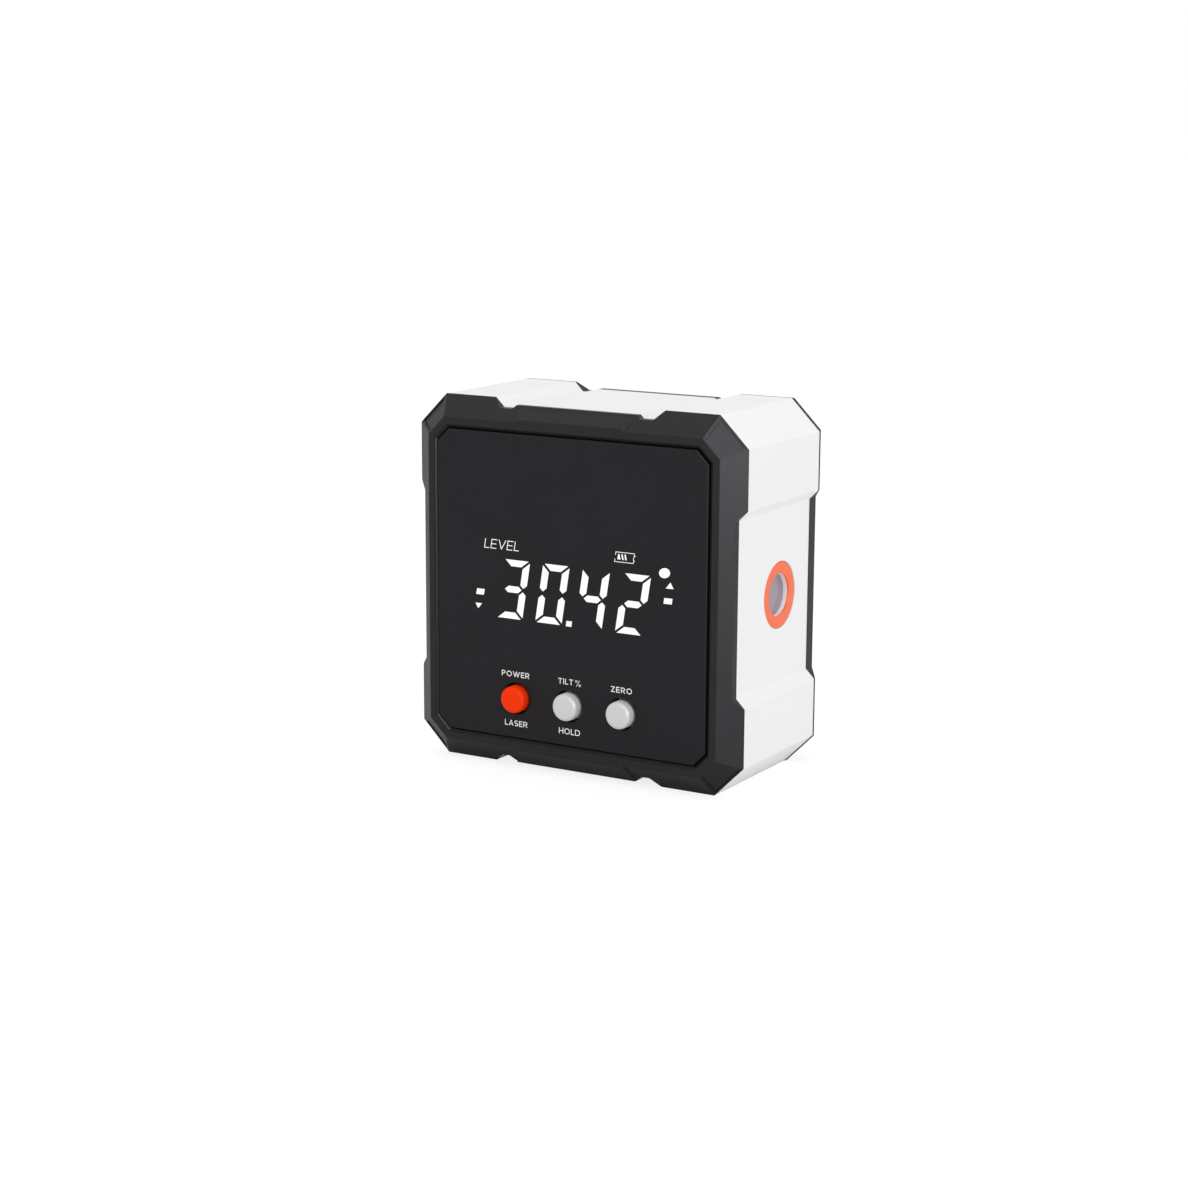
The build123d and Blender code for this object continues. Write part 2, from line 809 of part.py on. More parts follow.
# Rear cover: bevelled shell with the battery well, screw columns and the rebate of the door
with BuildPart() as rear_cover:
    add(bevelled_block(rear_joint, rear_land, back_face, rear_corner_cut, rear_side_recess))
    rim = rear_cover.faces().sort_by(Axis.Y)[-1]
    fillet(rim.edges(), radius=bevel_round)
    with BuildSketch(upright(rear_joint)):
        add(octagon(pocket_x, pocket_v, corner_round))
    extrude(amount=rear_joint + rear_wall - back_face, mode=Mode.SUBTRACT)
    with BuildSketch(upright(rear_joint)):
        spigot_cut = inset_cut(post_cut, spigot_fit)
        pocket_cut = inset_cut(spigot_cut, spigot_wall)
        add(octagon(spigot_x, spigot_v, spigot_cut))
        add(octagon(pocket_x, pocket_v, pocket_cut), mode=Mode.SUBTRACT)
    extrude(amount=spigot_reach)
    with BuildSketch(upright(rear_joint)):
        with GridLocations(2 * screw_x, 2 * screw_v, 2, 2):
            Circle(boss_radius)
    extrude(amount=rear_joint - screw_seat)
    with BuildSketch(upright(well_front)):
        Rectangle(2 * (well_half_width + well_wall), 2 * (well_half_height + well_wall))
    extrude(amount=well_front - back_face + rear_wall)
    with BuildSketch(upright(well_floor)):
        Rectangle(2 * well_half_width, 2 * well_half_height)
    extrude(amount=well_floor - back_face, mode=Mode.SUBTRACT)
    with BuildSketch(upright(back_face)):
        Rectangle(2 * (well_half_width + door_rim), 2 * (well_half_height + door_rim))
    extrude(amount=door_thickness + contact_gap, mode=Mode.SUBTRACT)
    with BuildSketch(upright(well_front)):
        with Locations((-cell_x, tab_v), (cell_x, tab_v)):
            Rectangle(tab_width + tab_slot_gap, contact_thickness + tab_slot_gap)
    extrude(amount=-well_wall, mode=Mode.SUBTRACT)
    with BuildSketch(upright(rear_joint)):
        with GridLocations(2 * screw_x, 2 * screw_v, 2, 2):
            Circle(screw_radius + screw_clearance)
    extrude(amount=rear_joint - back_face, mode=Mode.SUBTRACT)
    with BuildSketch(upright(back_face)):
        with GridLocations(2 * screw_x, 2 * screw_v, 2, 2):
            Circle(screw_head_radius + screw_head_gap)
    extrude(amount=screw_head + screw_sink, mode=Mode.SUBTRACT)
save(rear_cover, "rear_cover")


# Battery door: a plate with tongues that drop inside the well, and grip grooves
with BuildPart() as battery_door:
    plate_half_width = well_half_width + door_rim - door_gap
    plate_half_height = well_half_height + door_rim - door_gap
    with BuildSketch(upright(back_face)):
        RectangleRounded(2 * plate_half_width, 2 * plate_half_height, door_corner)
    extrude(amount=door_thickness)
    chamfer(battery_door.faces().sort_by(Axis.Y)[-1].edges(), length=door_edge)
    tongue_u = well_half_width - door_gap - tongue_thickness / 2
    with BuildSketch(upright(back_face - door_thickness)):
        with GridLocations(2 * tongue_u, well_half_height, 2, 2):
            Rectangle(tongue_thickness, tongue_width)
    extrude(amount=tongue_reach)
    with BuildSketch(upright(back_face)):
        with Locations((0, plate_half_height - grip_inset)):
            with GridLocations(0, grip_pitch, 1, grip_count):
                SlotOverall(grip_length, grip_width)
    extrude(amount=grip_depth, mode=Mode.SUBTRACT)
save(battery_door, "battery_door")


def cell(x, tip_side):
    """Make a cell at x with its tip up or down."""
    tip_end = middle_z + tip_side * (well_half_height - tip_room)
    tip_plane = Plane(origin=(x, cell_y, tip_end), x_dir=(1, 0, 0), z_dir=(0, 0, tip_side))
    with BuildPart() as can:
        with BuildSketch(tip_plane.offset(-cell_length)):
            Circle(cell_radius)
        extrude(amount=cell_length - cell_tip_length)
        chamfer(can.edges().filter_by(GeomType.CIRCLE), length=cell_shoulder)
        with BuildSketch(tip_plane.offset(-cell_tip_length)):
            Circle(cell_tip_radius)
        extrude(amount=cell_tip_length)
    return can


save(cell(-cell_x, 1), "battery_left")
save(cell(cell_x, -1), "battery_right")


def contact_plane(side):
    """Give the plane of the well's upper or lower end wall, facing into the well."""
    end = middle_z + side * well_half_height
    return Plane(origin=(0, cell_y, end), x_dir=(1, 0, 0), z_dir=(0, 0, -side))


def spring(x, side):
    """Make the coil that presses on the flat end of the cell at x."""
    coil_room = spring_room - contact_thickness - 2 * spring_wire_radius
    start = middle_z + side * (well_half_height - contact_thickness - spring_wire_radius)
    with BuildPart() as coil:
        with BuildLine() as path:
            Helix(
                pitch=coil_room / spring_turns,
                height=coil_room,
                radius=spring_radius,
                center=(x, cell_y, start),
                direction=(0, 0, -side),
            )
        with BuildSketch(Plane(origin=path.line @ 0, z_dir=path.line % 0)):
            RegularPolygon(spring_wire_radius, spring_wire_sides)
        sweep(path=path.line)
    return coil.part


# Contacts: one plate joins the cells at the top, and two with solder tabs stand at the bottom
with BuildPart() as joining_contact:
    with BuildSketch(contact_plane(1)):
        Rectangle(2 * (cell_x + contact_half), 2 * contact_half)
    extrude(amount=contact_thickness)
save(joining_contact, "joining_contact")

with BuildPart() as joining_spring:
    add(spring(cell_x, 1))
save(joining_spring, "joining_spring")

with BuildPart() as lower_spring:
    add(spring(-cell_x, -1))
save(lower_spring, "lower_spring")

for contact_name, contact_x in {"minus_contact": -cell_x, "plus_contact": cell_x}.items():
    with BuildPart() as lower_contact:
        with BuildSketch(contact_plane(-1)):
            with Locations((contact_x, 0)):
                Rectangle(2 * contact_half, 2 * contact_half)
            tab_length = cell_y - well_front + tab_proud
            with Locations((contact_x, -tab_length / 2)):
                Rectangle(tab_width, tab_length)
        extrude(amount=contact_thickness)
    save(lower_contact, contact_name)


# Long screws from the back, through the posts of the frame, into the bosses of the front cover
with BuildPart() as cover_screws:
    with BuildSketch(upright(back_face - screw_sink)):
        with GridLocations(2 * screw_x, 2 * screw_v, 2, 2):
            Circle(screw_head_radius)
    extrude(amount=screw_head)
    with BuildSketch(upright(screw_seat)):
        with GridLocations(2 * screw_x, 2 * screw_v, 2, 2):
            Circle(screw_radius)
    extrude(amount=screw_seat - boss_end + screw_bite)
    with BuildSketch(upright(back_face - screw_sink)):
        with GridLocations(2 * screw_x, 2 * screw_v, 2, 2):
            Rectangle(cross_length, cross_width)
            Rectangle(cross_width, cross_length)
    extrude(amount=cross_depth, mode=Mode.SUBTRACT)
save(cover_screws, "cover_screws")


# Magnets in the base, one at each end of both corner blocks
for magnet_name, place in {
    "base_magnet_front_left": (-magnet_x, -magnet_y),
    "base_magnet_front_right": (magnet_x, -magnet_y),
    "base_magnet_rear_left": (-magnet_x, magnet_y),
    "base_magnet_rear_right": (magnet_x, magnet_y),
}.items():
    with BuildPart() as base_magnet:
        with BuildSketch(Plane.XY.offset(magnet_sink)):
            with Locations(place):
                Circle(magnet_radius)
        extrude(amount=magnet_thickness)
    save(base_magnet, magnet_name)


# Leads: a pair from each laser and a pair from the cells, all soldered to the back of the board
with BuildPart() as laser_lead:
    lead_x = well_half_width + well_wall + lead_clearance + lead_radius
    bend = min(lead_bend, (barrel_back_x - lead_x) / 2)
    for offset in (-lead_spacing / 2, lead_spacing / 2):
        with BuildLine() as route:
            FilletPolyline(
                (barrel_back_x, laser_y, middle_z + offset),
                (lead_x, laser_y, middle_z + offset),
                (lead_x, board_back, middle_z + offset),
                radius=bend,
            )
        with BuildSketch(Plane(origin=route.line @ 0, z_dir=route.line % 0)):
            RegularPolygon(lead_radius, lead_sides)
        sweep(path=route.line)
save_pair(laser_lead, "laser_lead")

with BuildPart() as battery_leads:
    with BuildSketch(upright(well_front - tab_proud)):
        with Locations((-cell_x, tab_v), (cell_x, tab_v)):
            RegularPolygon(lead_radius, lead_sides)
    extrude(amount=well_front - tab_proud - board_back)
save(battery_leads, "battery_leads")
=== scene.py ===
import math

import bmesh
import bpy
from bpy.props import FloatProperty, FloatVectorProperty, PointerProperty, StringProperty
from mathutils import Matrix, Vector


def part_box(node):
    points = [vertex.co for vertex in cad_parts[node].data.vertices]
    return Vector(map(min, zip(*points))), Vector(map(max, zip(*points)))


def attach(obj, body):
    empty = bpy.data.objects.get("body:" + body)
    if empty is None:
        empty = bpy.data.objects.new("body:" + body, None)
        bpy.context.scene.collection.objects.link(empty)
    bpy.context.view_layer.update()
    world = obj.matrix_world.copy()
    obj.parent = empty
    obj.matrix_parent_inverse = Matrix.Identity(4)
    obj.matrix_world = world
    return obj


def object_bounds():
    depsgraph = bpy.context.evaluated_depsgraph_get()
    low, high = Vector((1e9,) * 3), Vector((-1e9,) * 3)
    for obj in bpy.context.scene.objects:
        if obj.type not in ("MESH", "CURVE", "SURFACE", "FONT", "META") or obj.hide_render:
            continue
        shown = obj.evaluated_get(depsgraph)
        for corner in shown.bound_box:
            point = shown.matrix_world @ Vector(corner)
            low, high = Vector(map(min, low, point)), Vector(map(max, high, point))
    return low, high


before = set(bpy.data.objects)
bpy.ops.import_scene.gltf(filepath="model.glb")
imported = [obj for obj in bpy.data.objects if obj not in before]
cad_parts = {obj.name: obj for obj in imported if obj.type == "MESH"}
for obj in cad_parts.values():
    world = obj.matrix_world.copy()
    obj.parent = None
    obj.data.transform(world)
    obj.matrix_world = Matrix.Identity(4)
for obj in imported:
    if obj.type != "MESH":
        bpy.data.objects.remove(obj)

bl_info = {
    "name": "Digital Laser Level Looks",
    "version": (1, 0, 0),
    "blender": (4, 5, 0),
    "location": "View3D > Sidebar > Level",
    "description": "Lit display, print, finishes and studio for the square laser level",
    "category": "Object",
}

MM = 0.001
CAD_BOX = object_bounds()
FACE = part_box("front_window")[0].y
WHITE = (1.0, 1.0, 1.0, 1.0)
BLACK = (0.0, 0.0, 0.0, 1.0)


# Shader building


class Wire:
    """The output of a shader node, which adds a Math node when it is used in a sum."""

    def __init__(self, tree, socket):
        self.tree = tree
        self.socket = socket

    def math(self, operation, first, second=None):
        values = {0: first} if second is None else {0: first, 1: second}
        return self.tree.node("ShaderNodeMath", {"operation": operation}, values)

    def __add__(self, other):
        return self.math("ADD", self, other)

    def __radd__(self, other):
        return self.math("ADD", other, self)

    def __sub__(self, other):
        return self.math("SUBTRACT", self, other)

    def __rsub__(self, other):
        return self.math("SUBTRACT", other, self)

    def __mul__(self, other):
        return self.math("MULTIPLY", self, other)

    def __truediv__(self, other):
        return self.math("DIVIDE", self, other)

    def __gt__(self, other):
        return self.math("GREATER_THAN", self, other)

    def __lt__(self, other):
        return self.math("LESS_THAN", self, other)

    def __abs__(self):
        return self.math("ABSOLUTE", self)

    def larger(self, other):
        return self.math("MAXIMUM", self, other)

    def smaller(self, other):
        return self.math("MINIMUM", self, other)


class Tree:
    """A node tree that is filled from Python expressions."""

    def __init__(self, tree):
        self.tree = tree
        tree.nodes.clear()

    def put(self, socket, value):
        if isinstance(value, Wire):
            self.tree.links.new(value.socket, socket)
        else:
            socket.default_value = value

    def node(self, kind, settings=None, values=None, output=0):
        """One node of any kind: its settings first, then the values or wires of its sockets."""
        made = self.tree.nodes.new(kind)
        for name, setting in (settings or {}).items():
            if name == "stops":
                ramp = made.color_ramp.elements
                for place, level in setting[1:-1]:
                    ramp.new(place)
                for stop, (place, level) in zip(ramp, setting):
                    stop.color = (level, level, level, 1)
            else:
                setattr(made, name, setting)
        for name, value in (values or {}).items():
            self.put(made.inputs[name], value)
        return Wire(self, made.outputs[output])

    def place(self, scale=(1, 1, 1)):
        """Object coordinates, scaled for a pattern."""
        where = self.node("ShaderNodeTexCoord", output="Object")
        return self.node("ShaderNodeMapping", {"vector_type": "POINT"}, {"Vector": where, "Scale": scale})

    def along(self, axis, size=1.0):
        """How far a point lies along an axis, in steps of size metres."""
        return self.node("ShaderNodeSeparateXYZ", None, {"Vector": self.place((1 / size,) * 3)}, axis)

    def noise(self, size, detail=3.0, rough=0.5, scale=(1, 1, 1)):
        """Soft noise whose cells are about size metres across."""
        values = {"Vector": self.place(scale), "Scale": 1 / size, "Detail": detail, "Roughness": rough}
        return self.node("ShaderNodeTexNoise", None, values)

    def cells(self, size, scale=(1, 1, 1), randomness=1.0, feature="F1"):
        """Distances in a pattern of cells that are about size metres across."""
        values = {"Vector": self.place(scale), "Scale": 1 / size, "Randomness": randomness}
        return self.node("ShaderNodeTexVoronoi", {"feature": feature}, values)

    def wave(self, value):
        """A smooth 0 to 1 wave of period one along a value."""
        turned = self.node("ShaderNodeMath", {"operation": "MULTIPLY"}, {0: value, 1: math.tau})
        return self.node("ShaderNodeMath", {"operation": "SINE"}, {0: turned}) * 0.5 + 0.5

    def mix(self, share, first, second):
        return self.node("ShaderNodeMix", {"data_type": "RGBA"}, {0: share, 6: first, 7: second}, 2)

    def ramp(self, value, stops):
        return self.node("ShaderNodeValToRGB", {"stops": stops}, {"Fac": value})

    def end(self, kind, surface):
        """The tree's output node, which takes the finished surface."""
        self.put(self.tree.nodes.new(kind).inputs["Surface"], surface)


class Finish(Tree):
    """A material with one Principled shader."""

    def __init__(self, name, **constants):
        self.material = bpy.data.materials.new(name)
        self.material.use_nodes = True
        super().__init__(self.material.node_tree)
        self.shader = self.tree.nodes.new("ShaderNodeBsdfPrincipled")
        self.end("ShaderNodeOutputMaterial", Wire(self, self.shader.outputs["BSDF"]))
        self.relief = None
        for name, value in constants.items():
            self.set(name.replace("_", " ").title().replace("Ior", "IOR"), value)

    def set(self, socket, value):
        self.put(self.shader.inputs[socket], value)

    def colour(self, value):
        self.set("Base Color", value)

    def bump(self, height, depth, strength=1.0):
        """Raises the surface by height times depth metres, over the relief that is already there."""
        values = {"Height": height, "Distance": depth, "Strength": strength}
        if self.relief:
            values["Normal"] = self.relief
        self.relief = self.node("ShaderNodeBump", None, values)
        self.set("Normal", self.relief)


def shade(colour, factor):
    """A colour made lighter or darker, with full opacity."""
    return (*(min(1.0, part * factor) for part in tuple(colour)[:3]), 1)


def moulded(name, colour, roughness, grain, depth, gloss=0.5, drift=0.06):
    """Moulded plastic: fine eroded grain, slow flow shading and a soft change of gloss."""
    made = Finish(name, specular_ior_level=gloss)
    flow = made.noise(14 * MM, 2.0, 0.5, (1, 1, 0.45))
    grit = made.noise(grain, 2.0, 0.6)
    fine = made.noise(grain * 0.37, 1.0, 0.5)
    haze = made.noise(2.6 * MM, 4.0, 0.62)
    tone = flow * 0.6 + haze * 0.25 + grit * 0.15
    made.colour(made.mix(tone, shade(colour, 1 - drift), shade(colour, 1 + drift)))
    made.set("Roughness", roughness + (haze - 0.5) * 0.14 + (grit - 0.5) * 0.08)
    made.bump(grit * 0.7 + fine * 0.3, depth, 0.8)
    made.bump(haze, depth * 0.8, 0.25)
    return made


def metal(name, colour, roughness, grain=0.25 * MM, stretch=(1, 1, 1), depth=0.004 * MM):
    """Plated or turned metal: tarnish in clouds and fine marks along one direction."""
    made = Finish(name, metallic=1.0)
    marks = made.noise(grain, 3.0, 0.6, stretch)
    cloud = made.noise(1.8 * MM, 4.0, 0.6)
    made.colour(made.mix(cloud * 0.7 + marks * 0.3, shade(colour, 0.84), shade(colour, 1.08)))
    made.set("Roughness", roughness + (cloud - 0.5) * 0.16 + (marks - 0.5) * 0.12)
    made.bump(marks, depth, 0.6)
    return made


def paint(finish, *nodes):
    """Puts a finish on CAD nodes."""
    for node in nodes:
        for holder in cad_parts[node].material_slots:
            holder.material = finish.material


# Finishes


def window_finish(colour):
    """Smoked acrylic with a satin face, a few lint specks and a slow unevenness of gloss."""
    made = Finish("smoked_acrylic", specular_ior_level=0.15)
    cloud = made.noise(9 * MM, 3.0, 0.55)
    orange_peel = made.noise(0.7 * MM, 2.0, 0.5)
    lint = made.ramp(made.noise(0.45 * MM, 2.0, 0.7), ((0.0, 0.0), (0.71, 0.0), (0.8, 0.35), (1.0, 1.0)))
    made.colour(made.mix(lint * 0.12 + cloud * 0.1, shade(colour, 0.9), shade(colour, 2.2)))
    made.set("Roughness", 0.38 + (cloud - 0.5) * 0.1 + lint * 0.2)
    made.bump(orange_peel, 0.004 * MM, 0.35)
    return made


def glass_finish(colour):
    """Tinted glass, slightly wavy, with a little dust."""
    made = Finish("tinted_glass", specular_ior_level=0.6, coat_weight=0.6, coat_roughness=0.04)
    wave = made.noise(2.2 * MM, 2.0, 0.5)
    dust = made.ramp(made.noise(0.3 * MM, 3.0, 0.7), ((0.0, 0.0), (0.66, 0.0), (0.78, 0.5), (1.0, 1.0)))
    made.colour(made.mix(wave * 0.5 + dust * 0.3, shade(colour, 0.82), shade(colour, 1.25)))
    made.set("Roughness", 0.09 + dust * 0.2)
    made.set("Alpha", 0.86 + dust * 0.1)
    made.bump(wave, 0.01 * MM, 0.3)
    return made


def lens_finish():
    """Clear moulded lens with a faint blue coating."""
    made = Finish("coated_lens", specular_ior_level=0.6, coat_weight=0.8)
    ripple = made.noise(1.1 * MM, 2.0, 0.5)
    made.colour(made.mix(ripple, (0.20, 0.22, 0.34, 1), (0.42, 0.40, 0.52, 1)))
    made.set("Roughness", 0.06 + ripple * 0.05)
    made.set("Alpha", 0.55 + ripple * 0.1)
    return made


def display_finish():
    """Unlit display glass: dark, with the faint grid of its clear conductors."""
    made = Finish("display_sandwich", specular_ior_level=0.6, coat_weight=0.5)
    cloud = made.noise(5 * MM, 2.0, 0.5)
    lines = made.wave(made.along("X", 0.9 * MM))
    made.colour(made.mix(lines * 0.5 + cloud * 0.5, (0.018, 0.020, 0.024, 1), (0.05, 0.055, 0.07, 1)))
    made.set("Roughness", 0.12 + cloud * 0.08)
    return made


def backlight_finish():
    """White light guide with a dot pattern that spreads the light."""
    made = Finish("light_guide", specular_ior_level=0.5)
    spots = made.cells(0.7 * MM, (1, 0, 1), 0.0) < 0.28
    haze = made.noise(4 * MM, 2.0, 0.5)
    made.colour(made.mix(spots * 0.6 + haze * 0.2, (0.84, 0.85, 0.87, 1), (0.70, 0.72, 0.76, 1)))
    made.set("Roughness", 0.32 + haze * 0.12)
    made.bump(spots, 0.02 * MM, 0.5)
    return made


def rubber_finish(name, colour, size):
    """Soft rubber or foam with open pores."""
    made = Finish(name, specular_ior_level=0.3)
    pores = made.cells(size)
    cloud = made.noise(3 * MM, 3.0, 0.6)
    made.colour(made.mix(pores * 0.5 + cloud * 0.4, shade(colour, 0.6), shade(colour, 1.5)))
    made.set("Roughness", 0.78 + (cloud - 0.5) * 0.15)
    made.bump(pores, 0.05 * MM, 0.6)
    return made


def strip_finish():
    """Contact strip: thin dark and pale layers side by side."""
    made = Finish("layered_contact_rubber", specular_ior_level=0.3)
    layers = made.wave(made.along("X", 0.36 * MM))
    cloud = made.noise(2 * MM, 2.0, 0.5)
    made.colour(made.mix(layers * 0.85 + cloud * 0.15, (0.03, 0.03, 0.03, 1), (0.55, 0.30, 0.30, 1)))
    made.set("Roughness", 0.6 + cloud * 0.1)
    made.bump(layers, 0.01 * MM, 0.4)
    return made


def board_finish():
    """Glass-fibre board: green mask over copper tracks, tinned pads and a weave that just shows."""
    made = Finish("green_board", specular_ior_level=0.5, coat_weight=0.25, coat_roughness=0.2)
    tracks = made.cells(3.1 * MM, (1, 0, 0.55), 0.55, "DISTANCE_TO_EDGE")
    copper = made.ramp(tracks, ((0.0, 1.0), (0.035, 1.0), (0.05, 0.0), (1.0, 0.0)))
    pads = made.cells(2.54 * MM, (1, 0, 1), 0.35)
    tin = made.ramp(pads, ((0.0, 1.0), (0.13, 1.0), (0.15, 0.0), (1.0, 0.0)))
    squares = {"Vector": made.place((1, 0, 1)), "Color1": BLACK, "Color2": WHITE, "Scale": 1 / (0.5 * MM)}
    weave = made.node("ShaderNodeTexChecker", None, squares, "Fac")
    cloud = made.noise(6 * MM, 3.0, 0.5)
    mask = made.mix(cloud * 0.7 + weave * 0.15, (0.006, 0.085, 0.030, 1), (0.012, 0.125, 0.050, 1))
    tracked = made.mix(copper, mask, (0.030, 0.220, 0.075, 1))
    made.colour(made.mix(tin, tracked, (0.72, 0.71, 0.68, 1)))
    made.set("Metallic", tin * 0.9)
    made.set("Roughness", 0.36 - tin * 0.08 + (cloud - 0.5) * 0.1)
    made.bump(copper * 0.6 + tin + weave * 0.1, 0.03 * MM, 0.6)
    return made


def chip_finish():
    """Moulded epoxy: dull, finely pitted, with a paler bloom."""
    made = Finish("moulded_epoxy", specular_ior_level=0.35)
    pits = made.noise(0.12 * MM, 2.0, 0.7)
    bloom = made.noise(2.4 * MM, 3.0, 0.5)
    made.colour(made.mix(pits * 0.4 + bloom * 0.6, (0.014, 0.014, 0.015, 1), (0.05, 0.05, 0.052, 1)))
    made.set("Roughness", 0.58 + (pits - 0.5) * 0.2)
    made.bump(pits, 0.01 * MM, 0.6)
    return made


def turned_finish(name, colour, pitch):
    """Brass turned on a lathe, with the tool's fine rings along X."""
    made = Finish(name, metallic=1.0)
    rings = made.wave(made.along("X", pitch))
    cloud = made.noise(1.6 * MM, 4.0, 0.6)
    made.colour(made.mix(cloud * 0.7 + rings * 0.3, shade(colour, 0.8), shade(colour, 1.1)))
    made.set("Roughness", 0.28 + rings * 0.06 + (cloud - 0.5) * 0.12)
    made.bump(rings, 0.006 * MM, 0.6)
    return made


def cell_finish(name, positive_up):
    """A plain printed cell sleeve: dark, with a copper-coloured band by the plus end and bare steel ends."""
    made = Finish(name, specular_ior_level=0.5, coat_weight=0.4, coat_roughness=0.15)
    low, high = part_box(name)
    share = (made.along("Z") - low.z) / (high.z - low.z)
    if not positive_up:
        share = 1 - share
    band = made.ramp(share, ((0.0, 0.0), (0.735, 0.0), (0.745, 1.0), (1.0, 1.0)))
    line = abs(share - 0.73) < 0.006
    steel = (share > 0.955).larger(share < 0.018)
    scuff = made.ramp(made.noise(1.2 * MM, 5.0, 0.7), ((0.0, 0.0), (0.6, 0.0), (0.75, 1.0), (1.0, 1.0)))
    print_ink = made.mix(band, (0.035, 0.037, 0.042, 1), (0.52, 0.25, 0.08, 1))
    lined = made.mix(line, print_ink, (0.80, 0.80, 0.78, 1))
    worn = made.mix(scuff * 0.12, lined, (0.55, 0.55, 0.55, 1))
    made.colour(made.mix(steel, worn, (0.66, 0.65, 0.62, 1)))
    made.set("Metallic", (steel + band * 0.6).smaller(1.0))
    made.set("Roughness", 0.26 + scuff * 0.12 + steel * 0.06)
    made.bump(scuff, 0.01 * MM, 0.3)
    return made


def lead_finish():
    """Two insulated wires, red on one side and black on the other."""
    made = Finish("wire_insulation", specular_ior_level=0.45)
    skin = made.noise(0.4 * MM, 3.0, 0.5)
    red = made.mix(skin, (0.36, 0.012, 0.012, 1), (0.52, 0.03, 0.025, 1))
    black = made.mix(skin, (0.012, 0.012, 0.013, 1), (0.035, 0.035, 0.036, 1))
    made.colour(made.mix(made.along("X") > 0.0, black, red))
    made.set("Roughness", 0.42 + (skin - 0.5) * 0.15)
    made.bump(skin, 0.01 * MM, 0.4)
    return made


def light_finish():
    """A lit display segment: white light, a little unevenly spread."""
    made = Finish("lit_segment", roughness=0.4, emission_strength=1.0)
    spread = made.noise(3.5 * MM, 2.0, 0.5)
    made.colour(made.mix(spread, (0.10, 0.10, 0.11, 1), (0.16, 0.16, 0.17, 1)))
    made.set("Emission Color", made.mix(spread, (0.84, 0.835, 0.85, 1), (0.93, 0.925, 0.935, 1)))
    return made


def ink_finish(colour):
    """Screen-printed white ink, with the mesh of the screen in its edge and surface."""
    made = Finish("printed_ink", specular_ior_level=0.3)
    mesh = made.noise(0.16 * MM, 2.0, 0.6)
    cover = made.noise(1.4 * MM, 3.0, 0.5)
    made.colour(made.mix(mesh * 0.5 + cover * 0.5, shade(colour, 0.95), shade(colour, 1.03)))
    made.set("Roughness", 0.5 + (mesh - 0.5) * 0.2)
    made.bump(mesh, 0.004 * MM, 0.5)
    return made


# Thin pieces on the window


SEGMENTS = {
    "0": "abcdef", "1": "bc", "2": "abdeg", "3": "abcdg", "4": "bcfg",
    "5": "acdfg", "6": "acdefg", "7": "abc", "8": "abcdefg", "9": "abcdfg", "-": "g",
}
SINK = 0.005 * MM
ARC_STEP = 15
OVAL_SIDES = 40
DRAWING_WELD = 1e-5
PIECE_WELD = 1e-7
LETTER_WIDTHS = {
    "A": 0.94, "D": 0.96, "E": 0.71, "H": 0.88, "L": 0.61, "O": 1.06,
    "P": 0.79, "R": 0.83, "S": 0.76, "T": 0.78, "V": 0.92, "W": 1.48, "Z": 0.79,
}


def thicken(mesh, faces, depth):
    """Extrudes flat faces just under the window's face until they stand proud of it by depth."""
    raised = bmesh.ops.extrude_face_region(mesh, geom=faces)["geom"]
    moved = [part for part in raised if isinstance(part, bmesh.types.BMVert)]
    bmesh.ops.translate(mesh, verts=moved, vec=(0, -depth - SINK, 0))


def plate(mesh, corners, depth):
    """A flat plate with these corners (x, z) on the window, proud of it by depth."""
    rim = [mesh.verts.new((x, FACE + SINK, z)) for x, z in corners]
    thicken(mesh, [mesh.faces.new(rim)], depth)


def arc(centre, across, up, start, stop):
    """Points along part of an ellipse, by angle in degrees."""
    count = max(2, round(abs(stop - start) / ARC_STEP))
    turns = [math.radians(start + (stop - start) * i / count) for i in range(count + 1)]
    return [(centre[0] + across * math.cos(t), centre[1] + up * math.sin(t)) for t in turns]


def lean(start, end, past):
    """The point that lies past the end of a line, for a stroke that is cut off level later."""
    return tuple(b + (b - a) * past for a, b in zip(start, end))


